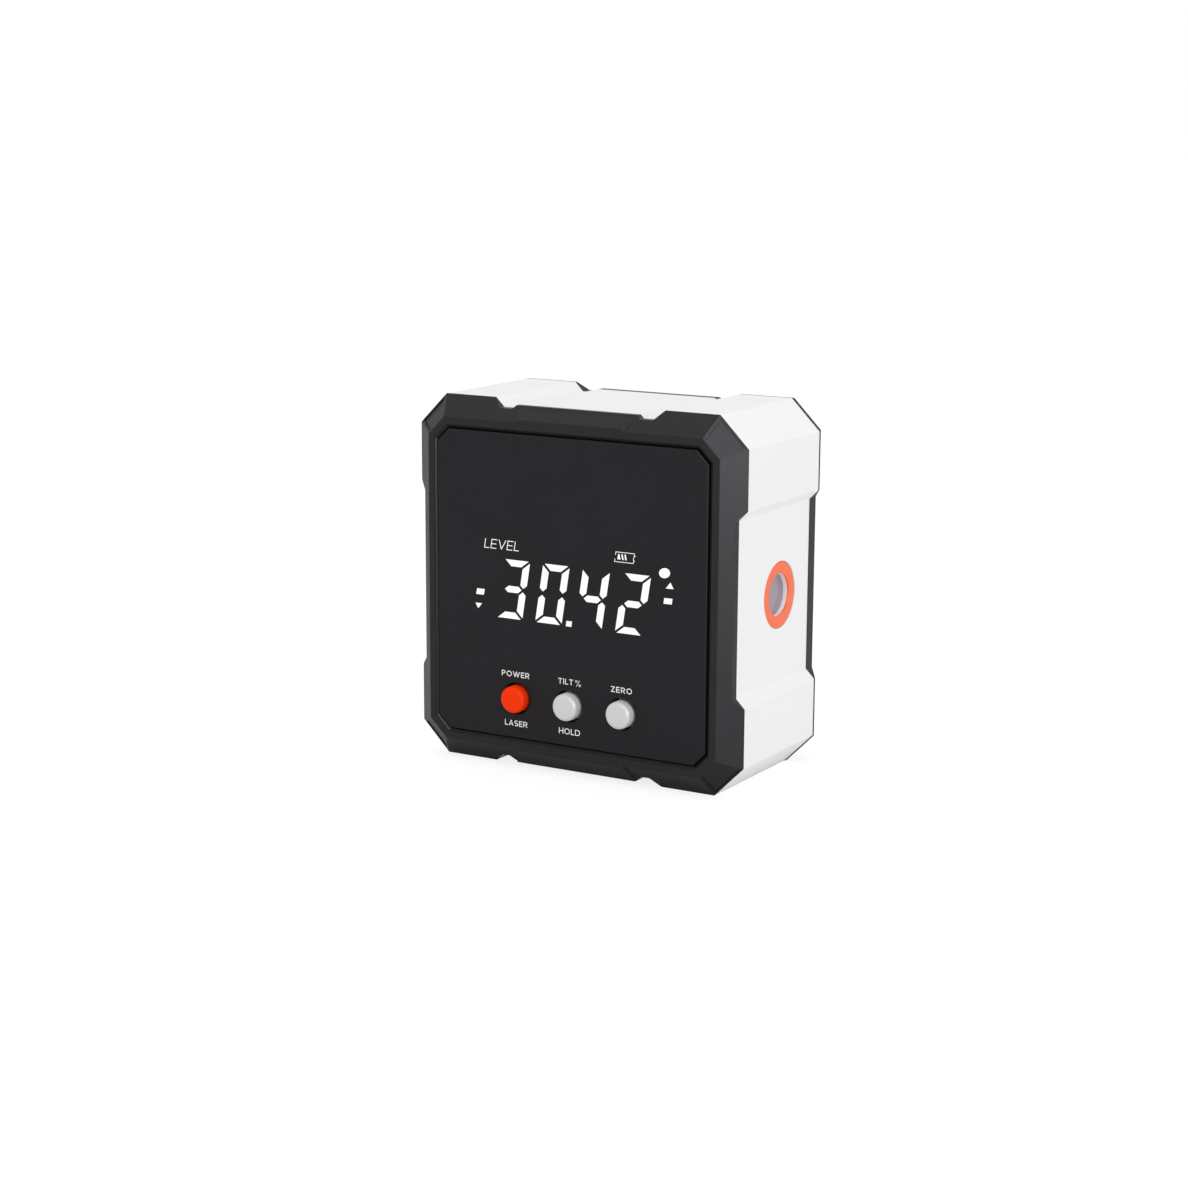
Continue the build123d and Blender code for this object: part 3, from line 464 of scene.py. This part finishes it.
def letter_strokes(letter, stroke):
    """Width of a letter one unit tall, and the middle lines of its strokes of this width."""
    half = stroke / 2
    if letter == "I":
        return stroke, [[(half, 0), (half, 1)]]
    if letter not in LETTER_WIDTHS:
        raise RuntimeError(f"no letter {letter!r}")
    top, foot = 1 - half, half
    shape = LETTER_WIDTHS[letter]
    side = shape - half
    middle = shape / 2
    past = 0.3
    tip_depth = 0.35 * stroke
    if letter == "L":
        return shape, [[(half, 1), (half, foot), (shape, foot)]]
    if letter == "T":
        return shape, [[(0, top), (shape, top)], [(middle, top - half), (middle, 0)]]
    if letter == "H":
        bar = [(stroke, 0.5), (shape - stroke, 0.5)]
        return shape, [[(half, 0), (half, 1)], [(side, 0), (side, 1)], bar]
    if letter == "E":
        bar = [(stroke, 0.5), (0.92 * shape, 0.5)]
        return shape, [[(shape, top), (half, top), (half, foot), (shape, foot)], bar]
    if letter == "O":
        return shape, [arc((middle, 0.5), middle - half, 0.5 - half, 0, 360)]
    if letter == "D":
        bowl = arc((shape - 0.5, 0.5), 0.5 - half, 0.5 - half, -90, 90)
        return shape, [[(half, foot), *bowl, (half, top), (half, foot)]]
    if letter in "PR":
        rise = 0.28 - half / 2
        reach = 1.2 * rise
        bowl = arc((shape - 0.04 - half - reach, top - rise), reach, rise, 90, -90)
        strokes = [[(half, 0), (half, top), *bowl, (stroke, top - 2 * rise)]]
        if letter == "R":
            knee = (middle - half / 2, top - 2 * rise - half * 0.2)
            strokes.append([knee, lean(knee, (side - half * 0.1, 0), past)])
        return shape, strokes
    if letter == "S":
        rise = (1 - 3 * stroke) / 4 + half
        upper = arc((middle, top - rise), middle - half, rise, 35, 270)
        lower = arc((middle, foot + rise), middle - half, rise, 90, -145)
        return shape, [upper + lower[1:]]
    if letter == "Z":
        lean_in = 0.62 * stroke
        slope = [(lean_in, foot), (shape - lean_in, top)]
        return shape, [[(0, top), (shape, top)], [(0, foot), (shape, foot)], slope]
    if letter == "V":
        tip = (middle, tip_depth)
        return shape, [[lean(tip, (half, 1), past), tip, lean(tip, (side, 1), past)]]
    if letter == "A":
        tip = (middle, 1 - tip_depth)
        legs = [lean(tip, (half, 0), past), tip, lean(tip, (side, 0), past)]
        bar_level = 0.27
        return shape, [legs, [(0.24 * shape, bar_level), (0.76 * shape, bar_level)]]
    # Only W is left: down, up and down again
    turns = ((0.28, 0), (0.5, 1), (0.72, 0))
    dips = [(half + (shape - stroke) * share, level + (0.5 - level) * 0.9 * stroke) for share, level in turns]
    return shape, [[lean(dips[0], (half, 1), past), *dips, lean(dips[-1], (side, 1), past)]]


def draw_stroke(mesh, points, width):
    """A flat stroke of even width: its first edge is extruded from corner to corner, each one mitred."""
    closed = points[0] == points[-1]
    spots = [Vector(point) for point in points]
    edge = None
    for i, spot in enumerate(spots):
        ways = []
        if closed or i > 0:
            ways.append(spot - spots[i - 1 if i > 0 else -2])
        if closed or i < len(spots) - 1:
            ways.append(spots[i + 1 if i < len(spots) - 1 else 1] - spot)
        sides = [Vector((-way.y, way.x)).normalized() for way in ways]
        mitre = (sides[0] + sides[-1]).normalized()
        reach = width / 2 / mitre.dot(sides[0])
        if edge is None:
            ends = [mesh.verts.new((*spot, 0)) for side in (1, -1)]
            edge = mesh.edges.new(ends)
        else:
            raised = bmesh.ops.extrude_edge_only(mesh, edges=[edge])["geom"]
            followers = [part for part in raised if isinstance(part, bmesh.types.BMVert)]
            drawn = [part for part in raised if isinstance(part, bmesh.types.BMEdge)]
            edge = next(part for part in drawn if set(part.verts) == set(followers))
            ends = sorted(followers, key=lambda vert: (vert.co - ends[0].co).length)
        for vert, side in zip(ends, (1, -1)):
            vert.co = (*(spot + mitre * side * reach), 0)
    bmesh.ops.remove_doubles(mesh, verts=mesh.verts, dist=DRAWING_WELD)


def stand(drawing, corner, scale, depth):
    """Stands a flat drawing up on the window with its origin at a corner (x, z), and gives it its depth."""
    turn = Matrix.Rotation(math.pi / 2, 4, "X")
    seat = Matrix.Translation((corner[0], FACE + SINK, corner[1]))
    drawing.transform(seat @ turn @ Matrix.Scale(scale, 4))
    thicken(drawing, drawing.faces[:], depth)


def join(mesh, other):
    """Adds another bmesh to a mesh and frees it."""
    flat = bpy.data.meshes.new("joined")
    other.to_mesh(flat)
    other.free()
    mesh.from_mesh(flat)
    bpy.data.meshes.remove(flat)


def slanted(slant, shift=0.0):
    """The matrix that leans a flat drawing to the right and shifts it across."""
    return Matrix(((1, slant, 0, shift), (0, 1, 0, 0), (0, 0, 1, 0), (0, 0, 0, 1)))


def disc(mesh, centre, radii, slant, depth):
    """An oval plate on the window, leaning to the right."""
    oval = bmesh.new()
    bmesh.ops.create_circle(oval, cap_ends=True, radius=1, segments=OVAL_SIDES)
    oval.transform(slanted(slant) @ Matrix.Diagonal((*radii, 1, 1)))
    stand(oval, centre, 1, depth)
    join(mesh, oval)


def word(mesh, text, low, high, depth, stroke, slant=0.0):
    """A word between low and high (x, z) on the window: the height sets its size, and gaps fill the width."""
    scale = high[1] - low[1]
    shapes = [letter_strokes(letter, stroke) for letter in text]
    room = (high[0] - low[0]) / scale - sum(width for width, strokes in shapes)
    gap = room / max(1, len(shapes) - 1)
    across = 0
    for width, strokes in shapes:
        letter = bmesh.new()
        for points in strokes:
            draw_stroke(letter, points, stroke)
        for level, way in ((0, -1), (1, 1)):
            bmesh.ops.bisect_plane(
                letter,
                geom=[*letter.verts, *letter.edges, *letter.faces],
                plane_co=(0, level, 0),
                plane_no=(0, way, 0),
                clear_outer=True,
            )
        letter.transform(slanted(slant, across))
        stand(letter, low, scale, depth)
        join(mesh, letter)
        across += width + gap


def segment_corners(segment, sizes):
    """Corners (x, z) of one segment of an upright digit."""
    width, height, stroke, bar, gap = sizes.width, sizes.height, sizes.stroke, sizes.bar, sizes.gap
    middle = height / 2
    over, under = middle + bar / 2, middle - bar / 2
    near, far = stroke + gap, width - stroke - gap
    if segment in "ad":
        corners = [(gap, height), (width - gap, height), (far, height - bar), (near, height - bar)]
    elif segment == "g":
        tip = stroke / 2 + gap
        corners = [
            (tip, middle), (near, over), (far, over),
            (width - tip, middle), (far, under), (near, under),
        ]
    else:
        corners = [
            (0, height - gap), (stroke, height - bar - gap), (stroke, over + gap),
            (stroke / 2, middle + gap), (0, over + gap),
        ]
    if segment in "bc":
        corners = [(width - x, z) for x, z in corners]
    if segment in "cde":
        corners = [(x, height - z) for x, z in corners]
    return corners


def piece(name, mesh, finish, body="root"):
    """Closes a bmesh into an object that rides on a body."""
    if not mesh.faces:
        raise RuntimeError(f"{name} has no faces")
    bmesh.ops.remove_doubles(mesh, verts=mesh.verts, dist=PIECE_WELD)
    bmesh.ops.recalc_face_normals(mesh, faces=mesh.faces)
    data = bpy.data.meshes.new(name)
    mesh.to_mesh(data)
    mesh.free()
    made = bpy.data.objects.new(name, data)
    bpy.context.scene.collection.objects.link(made)
    data.materials.append(finish.material)
    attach(made, body)


# Settings


REFLECTED_LAMPS = ("strip_lamp", "corner_lamp")
REFLECTED_COLOUR = (0.93, 0.92, 1.0)
SENSOR_WIDTH = 36.0


def length(name, description, default):
    kind = {"unit": "LENGTH", "subtype": "DISTANCE", "precision": 5}
    return FloatProperty(name=name, description=description, default=default, **kind)


def number(name, description, default):
    return FloatProperty(name=name, description=description, default=default)


def power(name, description, default):
    return FloatProperty(name=name, description=description, default=default, unit="POWER")


def angle(name, description, degrees):
    kind = {"unit": "ROTATION", "subtype": "ANGLE"}
    return FloatProperty(name=name, description=description, default=math.radians(degrees), **kind)


def tint(name, description, default):
    kind = {"size": 3, "min": 0, "max": 1, "subtype": "COLOR"}
    return FloatVectorProperty(name=name, description=description, default=default, **kind)


def point(name, description, default):
    kind = {"size": 3, "unit": "LENGTH", "subtype": "TRANSLATION", "precision": 5}
    return FloatVectorProperty(name=name, description=description, default=default, **kind)


class LevelColours(bpy.types.PropertyGroup):
    """Colours of the plastics, glass and print."""

    case: tint("Case", "Colour of the white frame", (0.86, 0.86, 0.865))
    cover: tint("Covers", "Colour of the black covers", (0.0150, 0.0142, 0.0160))
    window: tint("Window", "Colour of the front window", (0.0128, 0.0112, 0.0135))
    power: tint("Power button", "Colour of the power button", (0.97, 0.042, 0.001))
    grey: tint("Grey buttons", "Colour of the other two buttons", (0.66, 0.665, 0.675))
    ring: tint("Laser rings", "Colour of the rings round the lasers", (0.93, 0.15, 0.042))
    glass: tint("Laser glass", "Tint of the glass in front of the lasers", (0.36, 0.30, 0.37))
    ink: tint("Print", "Colour of the print on the window", (0.97, 0.97, 0.97))


class LevelDisplay(bpy.types.PropertyGroup):
    """Sizes of the lit display."""

    reading: StringProperty(name="Reading", description="Angle that the display shows", default="30.42")
    height: length("Digit height", "Height of a digit", 9.65 * MM)
    width: length("Digit width", "Width of a digit before it is slanted", 4.92 * MM)
    stroke: length("Stroke", "Width of an upright segment", 1.22 * MM)
    bar: length("Bar", "Height of a level segment", 1.06 * MM)
    gap: length("Gap", "Gap left at a segment's end", 0.29 * MM)
    pitch: length("Pitch", "Distance from one digit to the next", 7.37 * MM)
    right: length("Right edge", "Upper right corner of the last digit", 15.0 * MM)
    foot: length("Foot", "Height of the digits' lower edge above the base", 24.85 * MM)
    slant: number("Slant", "Lean of the digits, across for each unit up", 0.158)
    depth: length("Thickness", "How far a lit segment stands out of the window", 0.012 * MM)
    point_width: length("Point width", "Width of the decimal point", 1.03 * MM)
    point_height: length("Point height", "Height of the decimal point", 0.88 * MM)
    point_lean: length("Point lean", "How far the top of the decimal point leans across", 0.11 * MM)
    point_space: length("Point space", "Gap between a digit's foot and the point after it", 0.82 * MM)
    point_drop: length("Point drop", "How far the point starts below the digits' foot", 0.05 * MM)


class LevelPrint(bpy.types.PropertyGroup):
    """Sizes of the printed words."""

    depth: length("Ink thickness", "How far the ink stands out of the window", 0.012 * MM)
    stroke: number("Stroke", "Width of a letter's strokes, for letters one unit tall", 0.145)


class LevelStudio(bpy.types.PropertyGroup):
    """The floor, the lamps and the camera."""

    floor: length("Floor", "Length of the floor's sides", 24.0)
    key: power("Key lamp", "Power of the lamp on the right", 0.78)
    top: power("Top lamp", "Power of the lamp overhead", 0.9)
    fill: power("Front lamp", "Power of the lamp in front", 0.345)
    strip: power("Strip lamp", "Power of the lamp that only shows as a reflection in the right bevel", 1.8)
    corner: power("Corner lamp", "Power of the lamp that only shows as a reflection in the upper corner", 0.4)
    ambient: number("Surroundings", "Strength of the light from all sides", 0.8)
    lens: FloatProperty(name="Lens", description="Focal length in millimetres", default=76.07, unit="CAMERA")
    place: point("Camera", "Where the camera stands", (0.20193, -0.34771, 0.10943))
    azimuth: angle("Azimuth", "Turn of the camera to the right", 30.676)
    elevation: angle("Elevation", "Tilt of the camera downwards", 11.531)
    roll: angle("Roll", "Turn of the camera about its view", 0.292)


# Operators


class LEVEL_OT_case(bpy.types.Operator):
    """Finish the white frame and the black covers"""

    bl_idname = "level.case"
    bl_label = "Case and covers"

    def execute(self, context):
        colours = context.scene.level_colours
        paint(moulded("case_plastic", colours.case, 0.52, 0.32 * MM, 0.007 * MM, 0.4, 0.012), "body_frame")
        front = moulded("cover_plastic", colours.cover, 0.4, 0.26 * MM, 0.012 * MM, 0.19, 0.12)
        paint(front, "front_cover")
        back = moulded("rear_plastic", colours.cover, 0.46, 0.34 * MM, 0.014 * MM, 0.24, 0.14)
        paint(back, "rear_cover", "battery_door")
        return {"FINISHED"}


class LEVEL_OT_window(bpy.types.Operator):
    """Finish the front window"""

    bl_idname = "level.window"
    bl_label = "Front window"

    def execute(self, context):
        paint(window_finish(context.scene.level_colours.window), "front_window")
        return {"FINISHED"}


class LEVEL_OT_buttons(bpy.types.Operator):
    """Finish the three buttons with their plungers and switches"""

    bl_idname = "level.buttons"
    bl_label = "Buttons"

    def execute(self, context):
        colours = context.scene.level_colours
        paint(moulded("power_plastic", colours.power, 0.5, 0.3 * MM, 0.005 * MM, 0.06, 0.03), "power_button")
        grey = moulded("grey_plastic", colours.grey, 0.36, 0.3 * MM, 0.005 * MM, 0.45, 0.02)
        grey.set("Sheen Weight", 0.6)
        grey.set("Sheen Roughness", 0.3)
        paint(grey, "hold_button", "zero_button")
        paint(chip_finish(), "power_plunger", "hold_plunger", "zero_plunger")
        switches = moulded("switch_plastic", (0.04, 0.04, 0.043), 0.5, 0.2 * MM, 0.008 * MM)
        paint(switches, "power_switch", "hold_switch", "zero_switch")
        return {"FINISHED"}


class LEVEL_OT_lasers(bpy.types.Operator):
    """Finish the rings, glasses, lenses, barrels and screws of the two lasers"""

    bl_idname = "level.lasers"
    bl_label = "Lasers"

    def execute(self, context):
        colours = context.scene.level_colours
        trim = moulded("ring_plastic", colours.ring, 0.36, 0.22 * MM, 0.005 * MM, 0.45, 0.03)
        paint(trim, "laser_ring_left", "laser_ring_right")
        paint(glass_finish(colours.glass), "laser_glass_left", "laser_glass_right")
        paint(lens_finish(), "laser_lens_left", "laser_lens_right")
        brass = turned_finish("turned_brass", (0.74, 0.50, 0.20), 0.22 * MM)
        paint(brass, "laser_barrel_left", "laser_barrel_right")
        gold = turned_finish("gold_can", (0.86, 0.66, 0.30), 0.6 * MM)
        paint(gold, "laser_diode_left", "laser_diode_right")
        paint(metal("bright_zinc", (0.60, 0.60, 0.61), 0.3), "aiming_screws_left", "aiming_screws_right")
        return {"FINISHED"}


class LEVEL_OT_display_parts(bpy.types.Operator):
    """Finish the display's glass, light guide, holder, gasket and contact strip"""

    bl_idname = "level.display_parts"
    bl_label = "Display parts"

    def execute(self, context):
        paint(display_finish(), "display_glass")
        paint(backlight_finish(), "backlight_panel")
        paint(moulded("holder_plastic", (0.70, 0.70, 0.69), 0.5, 0.3 * MM, 0.008 * MM), "display_holder")
        paint(rubber_finish("foam_gasket", (0.03, 0.03, 0.031), 0.28 * MM), "display_gasket")
        paint(strip_finish(), "contact_strip")
        return {"FINISHED"}


class LEVEL_OT_boards(bpy.types.Operator):
    """Finish the boards and what is soldered to them"""

    bl_idname = "level.boards"
    bl_label = "Boards"

    def execute(self, context):
        paint(board_finish(), "main_board", "laser_driver_left", "laser_driver_right")
        paint(chip_finish(), "processor_chip", "tilt_sensor")
        paint(metal("bare_can", (0.72, 0.72, 0.73), 0.35), "board_capacitor")
        paint(metal("board_zinc", (0.62, 0.60, 0.54), 0.32), "board_screws")
        paint(lead_finish(), "battery_leads", "laser_lead_left", "laser_lead_right")
        return {"FINISHED"}


class LEVEL_OT_cells(bpy.types.Operator):
    """Finish the two cells, their contacts and springs"""

    bl_idname = "level.cells"
    bl_label = "Cells and contacts"

    def execute(self, context):
        paint(cell_finish("battery_left", True), "battery_left")
        paint(cell_finish("battery_right", False), "battery_right")
        plated = metal("plated_spring", (0.66, 0.65, 0.62), 0.26, 0.2 * MM)
        paint(plated, "lower_spring", "joining_spring", "minus_contact", "plus_contact", "joining_contact")
        return {"FINISHED"}


class LEVEL_OT_fittings(bpy.types.Operator):
    """Finish the magnets in the base and the cover screws"""

    bl_idname = "level.fittings"
    bl_label = "Magnets and screws"

    def execute(self, context):
        nickel = metal("nickel_plate", (0.60, 0.59, 0.57), 0.24, 0.3 * MM)
        paint(nickel, "base_magnet_front_left", "base_magnet_front_right")
        paint(nickel, "base_magnet_rear_left", "base_magnet_rear_right")
        paint(metal("black_oxide", (0.06, 0.06, 0.064), 0.4), "cover_screws")
        return {"FINISHED"}


class LEVEL_OT_digits(bpy.types.Operator):
    """Make the lit digits of the reading"""

    bl_idname = "level.digits"
    bl_label = "Display digits"

    def execute(self, context):
        sizes = context.scene.level_display
        mesh = bmesh.new()
        right = sizes.right
        for mark in reversed(sizes.reading):
            if mark == ".":
                left = right - sizes.slant * sizes.height + sizes.point_space
                foot = sizes.foot - sizes.point_drop
                wide, tall, over = sizes.point_width, sizes.point_height, sizes.point_lean
                corners = [(0, 0), (wide, 0), (wide + over, tall), (over, tall)]
                plate(mesh, [(left + x, foot + z) for x, z in corners], sizes.depth)
                continue
            if mark not in SEGMENTS:
                raise RuntimeError(f"the display has no sign {mark!r}")
            left = right - sizes.slant * sizes.height - sizes.width
            for segment in SEGMENTS[mark]:
                upright = segment_corners(segment, sizes)
                corners = [(left + x + sizes.slant * z, sizes.foot + z) for x, z in upright]
                plate(mesh, corners, sizes.depth)
            right -= sizes.pitch
        piece("display_digits", mesh, light_finish())
        return {"FINISHED"}


class LEVEL_OT_symbols(bpy.types.Operator):
    """Make the lit signs round the reading: degree, direction arrows, battery and the word LEVEL"""

    bl_idname = "level.symbols"
    bl_label = "Display symbols"

    def execute(self, context):
        depth = context.scene.level_display.depth
        mesh = bmesh.new()
        degree_centre = (17.36 * MM, 35.22 * MM)
        degree_radii = (0.97 * MM, 0.80 * MM)
        degree_slant = 0.13
        disc(mesh, degree_centre, degree_radii, degree_slant, depth)
        plates = {
            "right arrow": [(17.59, 32.84), (18.99, 32.87), (18.42, 33.85)],
            "right bar": [(17.22, 30.41), (18.67, 30.41), (18.82, 31.32), (17.37, 31.32)],
            "left bar": [(-17.43, 28.20), (-15.97, 28.20), (-15.78, 29.15), (-17.25, 29.15)],
            "left arrow": [(-17.57, 26.76), (-16.30, 26.76), (-17.06, 25.87)],
            "first charge bar": [(8.92, 36.56), (9.49, 36.56), (9.30, 37.41), (9.07, 37.41)],
            "second charge bar": [(9.80, 36.54), (10.07, 36.54), (9.87, 37.42), (9.61, 37.42)],
            "third charge bar": [(10.32, 36.54), (10.61, 36.54), (10.43, 37.42), (10.19, 37.42)],
        }
        for corners in plates.values():
            plate(mesh, [(x * MM, z * MM) for x, z in corners], depth)
        battery_lines = {
            "outline": [
                (8.57, 37.25), (8.66, 37.71), (11.98, 37.71), (11.97, 37.42), (11.80, 36.93),
                (11.85, 36.40), (11.77, 36.16), (8.43, 36.16), (8.48, 36.62),
            ],
            "upper tip": [(11.95, 37.30), (12.20, 37.30)],
            "lower tip": [(11.84, 36.55), (12.06, 36.55)],
        }
        line_width = 0.1
        battery = bmesh.new()
        for points in battery_lines.values():
            draw_stroke(battery, points, line_width)
        stand(battery, (0, 0), MM, depth)
        join(mesh, battery)
        low, high = (-15.87 * MM, 35.98 * MM), (-9.29 * MM, 37.52 * MM)
        thin, leaning = 0.08, 0.16
        word(mesh, "LEVEL", low, high, depth, thin, leaning)
        piece("display_symbols", mesh, light_finish())
        return {"FINISHED"}


class LEVEL_OT_words(bpy.types.Operator):
    """Make the printed words over and under the buttons"""

    bl_idname = "level.words"
    bl_label = "Printed words"

    def execute(self, context):
        sizes = context.scene.level_print
        words = [
            ("POWER", -12.53, 15.30, -7.27, 16.22),
            ("LASER", -11.95, 7.15, -7.64, 8.09),
            ("TILT", -1.83, 15.30, 0.93, 16.22),
            ("HOLD", -1.69, 7.13, 2.26, 8.10),
            ("ZERO", 7.91, 15.19, 11.73, 16.12),
        ]
        mesh = bmesh.new()
        for text, left, foot, right, top in words:
            word(mesh, text, (left * MM, foot * MM), (right * MM, top * MM), sizes.depth, sizes.stroke)
        self.percent(mesh, (1.32 * MM, 15.22 * MM), (2.37 * MM, 16.24 * MM), sizes.depth)
        piece("panel_print", mesh, ink_finish(context.scene.level_colours.ink))
        return {"FINISHED"}

    def percent(self, mesh, low, high, depth):
        """The percent sign: two small rings and a bar."""
        width, height = high[0] - low[0], high[1] - low[1]
        line = 0.08 * height
        outer = 0.2 * height
        radius = outer - line / 2
        sign = bmesh.new()
        for x, z in ((outer, height - outer), (width - outer, outer)):
            draw_stroke(sign, arc((x, z), radius, radius, 0, 360), line)
        draw_stroke(sign, [(0.2 * width, 0), (0.8 * width, height)], line)
        stand(sign, low, 1, depth)
        join(mesh, sign)


class LEVEL_OT_studio(bpy.types.Operator):
    """Make the floor, the surroundings, the lamps and the camera"""

    bl_idname = "level.studio"
    bl_label = "Studio"

    def execute(self, context):
        studio = context.scene.level_studio
        self.floor(studio)
        self.surroundings(context.scene, studio)
        middle = (CAD_BOX[0] + CAD_BOX[1]) / 2
        lamps = (
            ("key_lamp", studio.key, 0.42, 75, 15, 0.7),
            ("top_lamp", studio.top, 0.6, 10, 82, 0.8),
            ("front_lamp", studio.fill, 0.35, 12, 24, 0.75),
            ("strip_lamp", studio.strip, 0.12, 54, 14, 0.36),
            ("corner_lamp", studio.corner, 0.1, 34, 44, 0.36),
        )
        for name, watts, size, azimuth, elevation, distance in lamps:
            lamp = self.lamp(name, watts, size, azimuth, elevation, distance, middle)
            if name in REFLECTED_LAMPS:
                lamp.visible_diffuse = False
                lamp.data.color = REFLECTED_COLOUR
        self.camera(context.scene, studio)
        context.scene.view_settings.view_transform = "Standard"
        return {"FINISHED"}

    def seen(self, tree, *rays):
        """1 where a ray of one of these kinds arrives, and else 0."""
        path = tree.tree.nodes.new("ShaderNodeLightPath")
        first, *rest = [Wire(tree, path.outputs[name]) for name in rays]
        for other in rest:
            first = first.larger(other)
        return first

    def floor(self, studio):
        mesh = bmesh.new()
        bmesh.ops.create_grid(mesh, x_segments=8, y_segments=8, size=studio.floor / 2)
        data = bpy.data.meshes.new("floor")
        mesh.to_mesh(data)
        mesh.free()
        made = bpy.data.objects.new("floor", data)
        bpy.context.scene.collection.objects.link(made)
        material = bpy.data.materials.new("pale_floor")
        material.use_nodes = True
        tree = Tree(material.node_tree)
        matte = tree.node("ShaderNodeBsdfDiffuse", None, {"Color": (0.92, 0.92, 0.92, 1)})
        glow = tree.node("ShaderNodeEmission", None, {"Strength": 1.15})
        share = self.seen(tree, "Is Camera Ray", "Is Transmission Ray") * 0.7
        blend = tree.node("ShaderNodeMixShader", None, {0: share, 1: matte, 2: glow})
        tree.end("ShaderNodeOutputMaterial", blend)
        data.materials.append(material)

    def surroundings(self, scene, studio):
        world = bpy.data.worlds.new("surroundings")
        world.use_nodes = True
        tree = Tree(world.node_tree)
        soft = tree.node("ShaderNodeBackground", None, {"Color": WHITE, "Strength": studio.ambient})
        white = tree.node("ShaderNodeBackground", None, {"Color": WHITE, "Strength": 1.0})
        share = self.seen(tree, "Is Camera Ray", "Is Glossy Ray", "Is Transmission Ray")
        blend = tree.node("ShaderNodeMixShader", None, {0: share, 1: soft, 2: white})
        tree.end("ShaderNodeOutputWorld", blend)
        scene.world = world

    def lamp(self, name, watts, size, azimuth, elevation, distance, target):
        """A square lamp that faces the target, its angles in degrees from the front and from the floor."""
        data = bpy.data.lights.new(name, "AREA")
        data.energy = watts
        data.size = size
        made = bpy.data.objects.new(name, data)
        across, up = math.radians(azimuth), math.radians(elevation)
        way = Vector((math.sin(across) * math.cos(up), -math.cos(across) * math.cos(up), math.sin(up)))
        made.location = target + way * distance
        made.rotation_euler = (-way).to_track_quat("-Z", "Y").to_euler()
        made.visible_camera = False
        bpy.context.scene.collection.objects.link(made)
        return made

    def camera(self, scene, studio):
        data = bpy.data.cameras.new("camera")
        data.lens = studio.lens
        data.sensor_width = SENSOR_WIDTH
        made = bpy.data.objects.new("camera", data)
        turn = (
            Matrix.Rotation(studio.azimuth, 4, "Z")
            @ Matrix.Rotation(math.pi / 2 - studio.elevation, 4, "X")
            @ Matrix.Rotation(studio.roll, 4, "Z")
        )
        made.matrix_world = Matrix.Translation(studio.place) @ turn
        scene.collection.objects.link(made)
        scene.camera = made


OPERATORS = (
    LEVEL_OT_case,
    LEVEL_OT_window,
    LEVEL_OT_buttons,
    LEVEL_OT_lasers,
    LEVEL_OT_display_parts,
    LEVEL_OT_boards,
    LEVEL_OT_cells,
    LEVEL_OT_fittings,
    LEVEL_OT_digits,
    LEVEL_OT_symbols,
    LEVEL_OT_words,
    LEVEL_OT_studio,
)
SETTINGS = {
    "level_colours": LevelColours,
    "level_display": LevelDisplay,
    "level_print": LevelPrint,
    "level_studio": LevelStudio,
}


class LEVEL_PT_sidebar(bpy.types.Panel):
    """The level's pieces and settings"""

    bl_idname = "LEVEL_PT_sidebar"
    bl_label = "Laser level"
    bl_space_type = "VIEW_3D"
    bl_region_type = "UI"
    bl_category = "Level"

    def draw(self, context):
        for name, group in SETTINGS.items():
            box = self.layout.box()
            box.label(text=group.__doc__)
            for setting in group.__annotations__:
                box.prop(getattr(context.scene, name), setting)
        for operator in OPERATORS:
            self.layout.operator(operator.bl_idname)


def register():
    for group in SETTINGS.values():
        bpy.utils.register_class(group)
    for name, group in SETTINGS.items():
        setattr(bpy.types.Scene, name, PointerProperty(type=group))
    for made in (*OPERATORS, LEVEL_PT_sidebar):
        bpy.utils.register_class(made)


def unregister():
    for made in reversed((*OPERATORS, LEVEL_PT_sidebar)):
        bpy.utils.unregister_class(made)
    for name in SETTINGS:
        delattr(bpy.types.Scene, name)
    for group in reversed(SETTINGS.values()):
        bpy.utils.unregister_class(group)


def main():
    register()
    for operator in OPERATORS:
        group, name = operator.bl_idname.split(".")
        getattr(getattr(bpy.ops, group), name)()


if __name__ == "__main__":
    main()
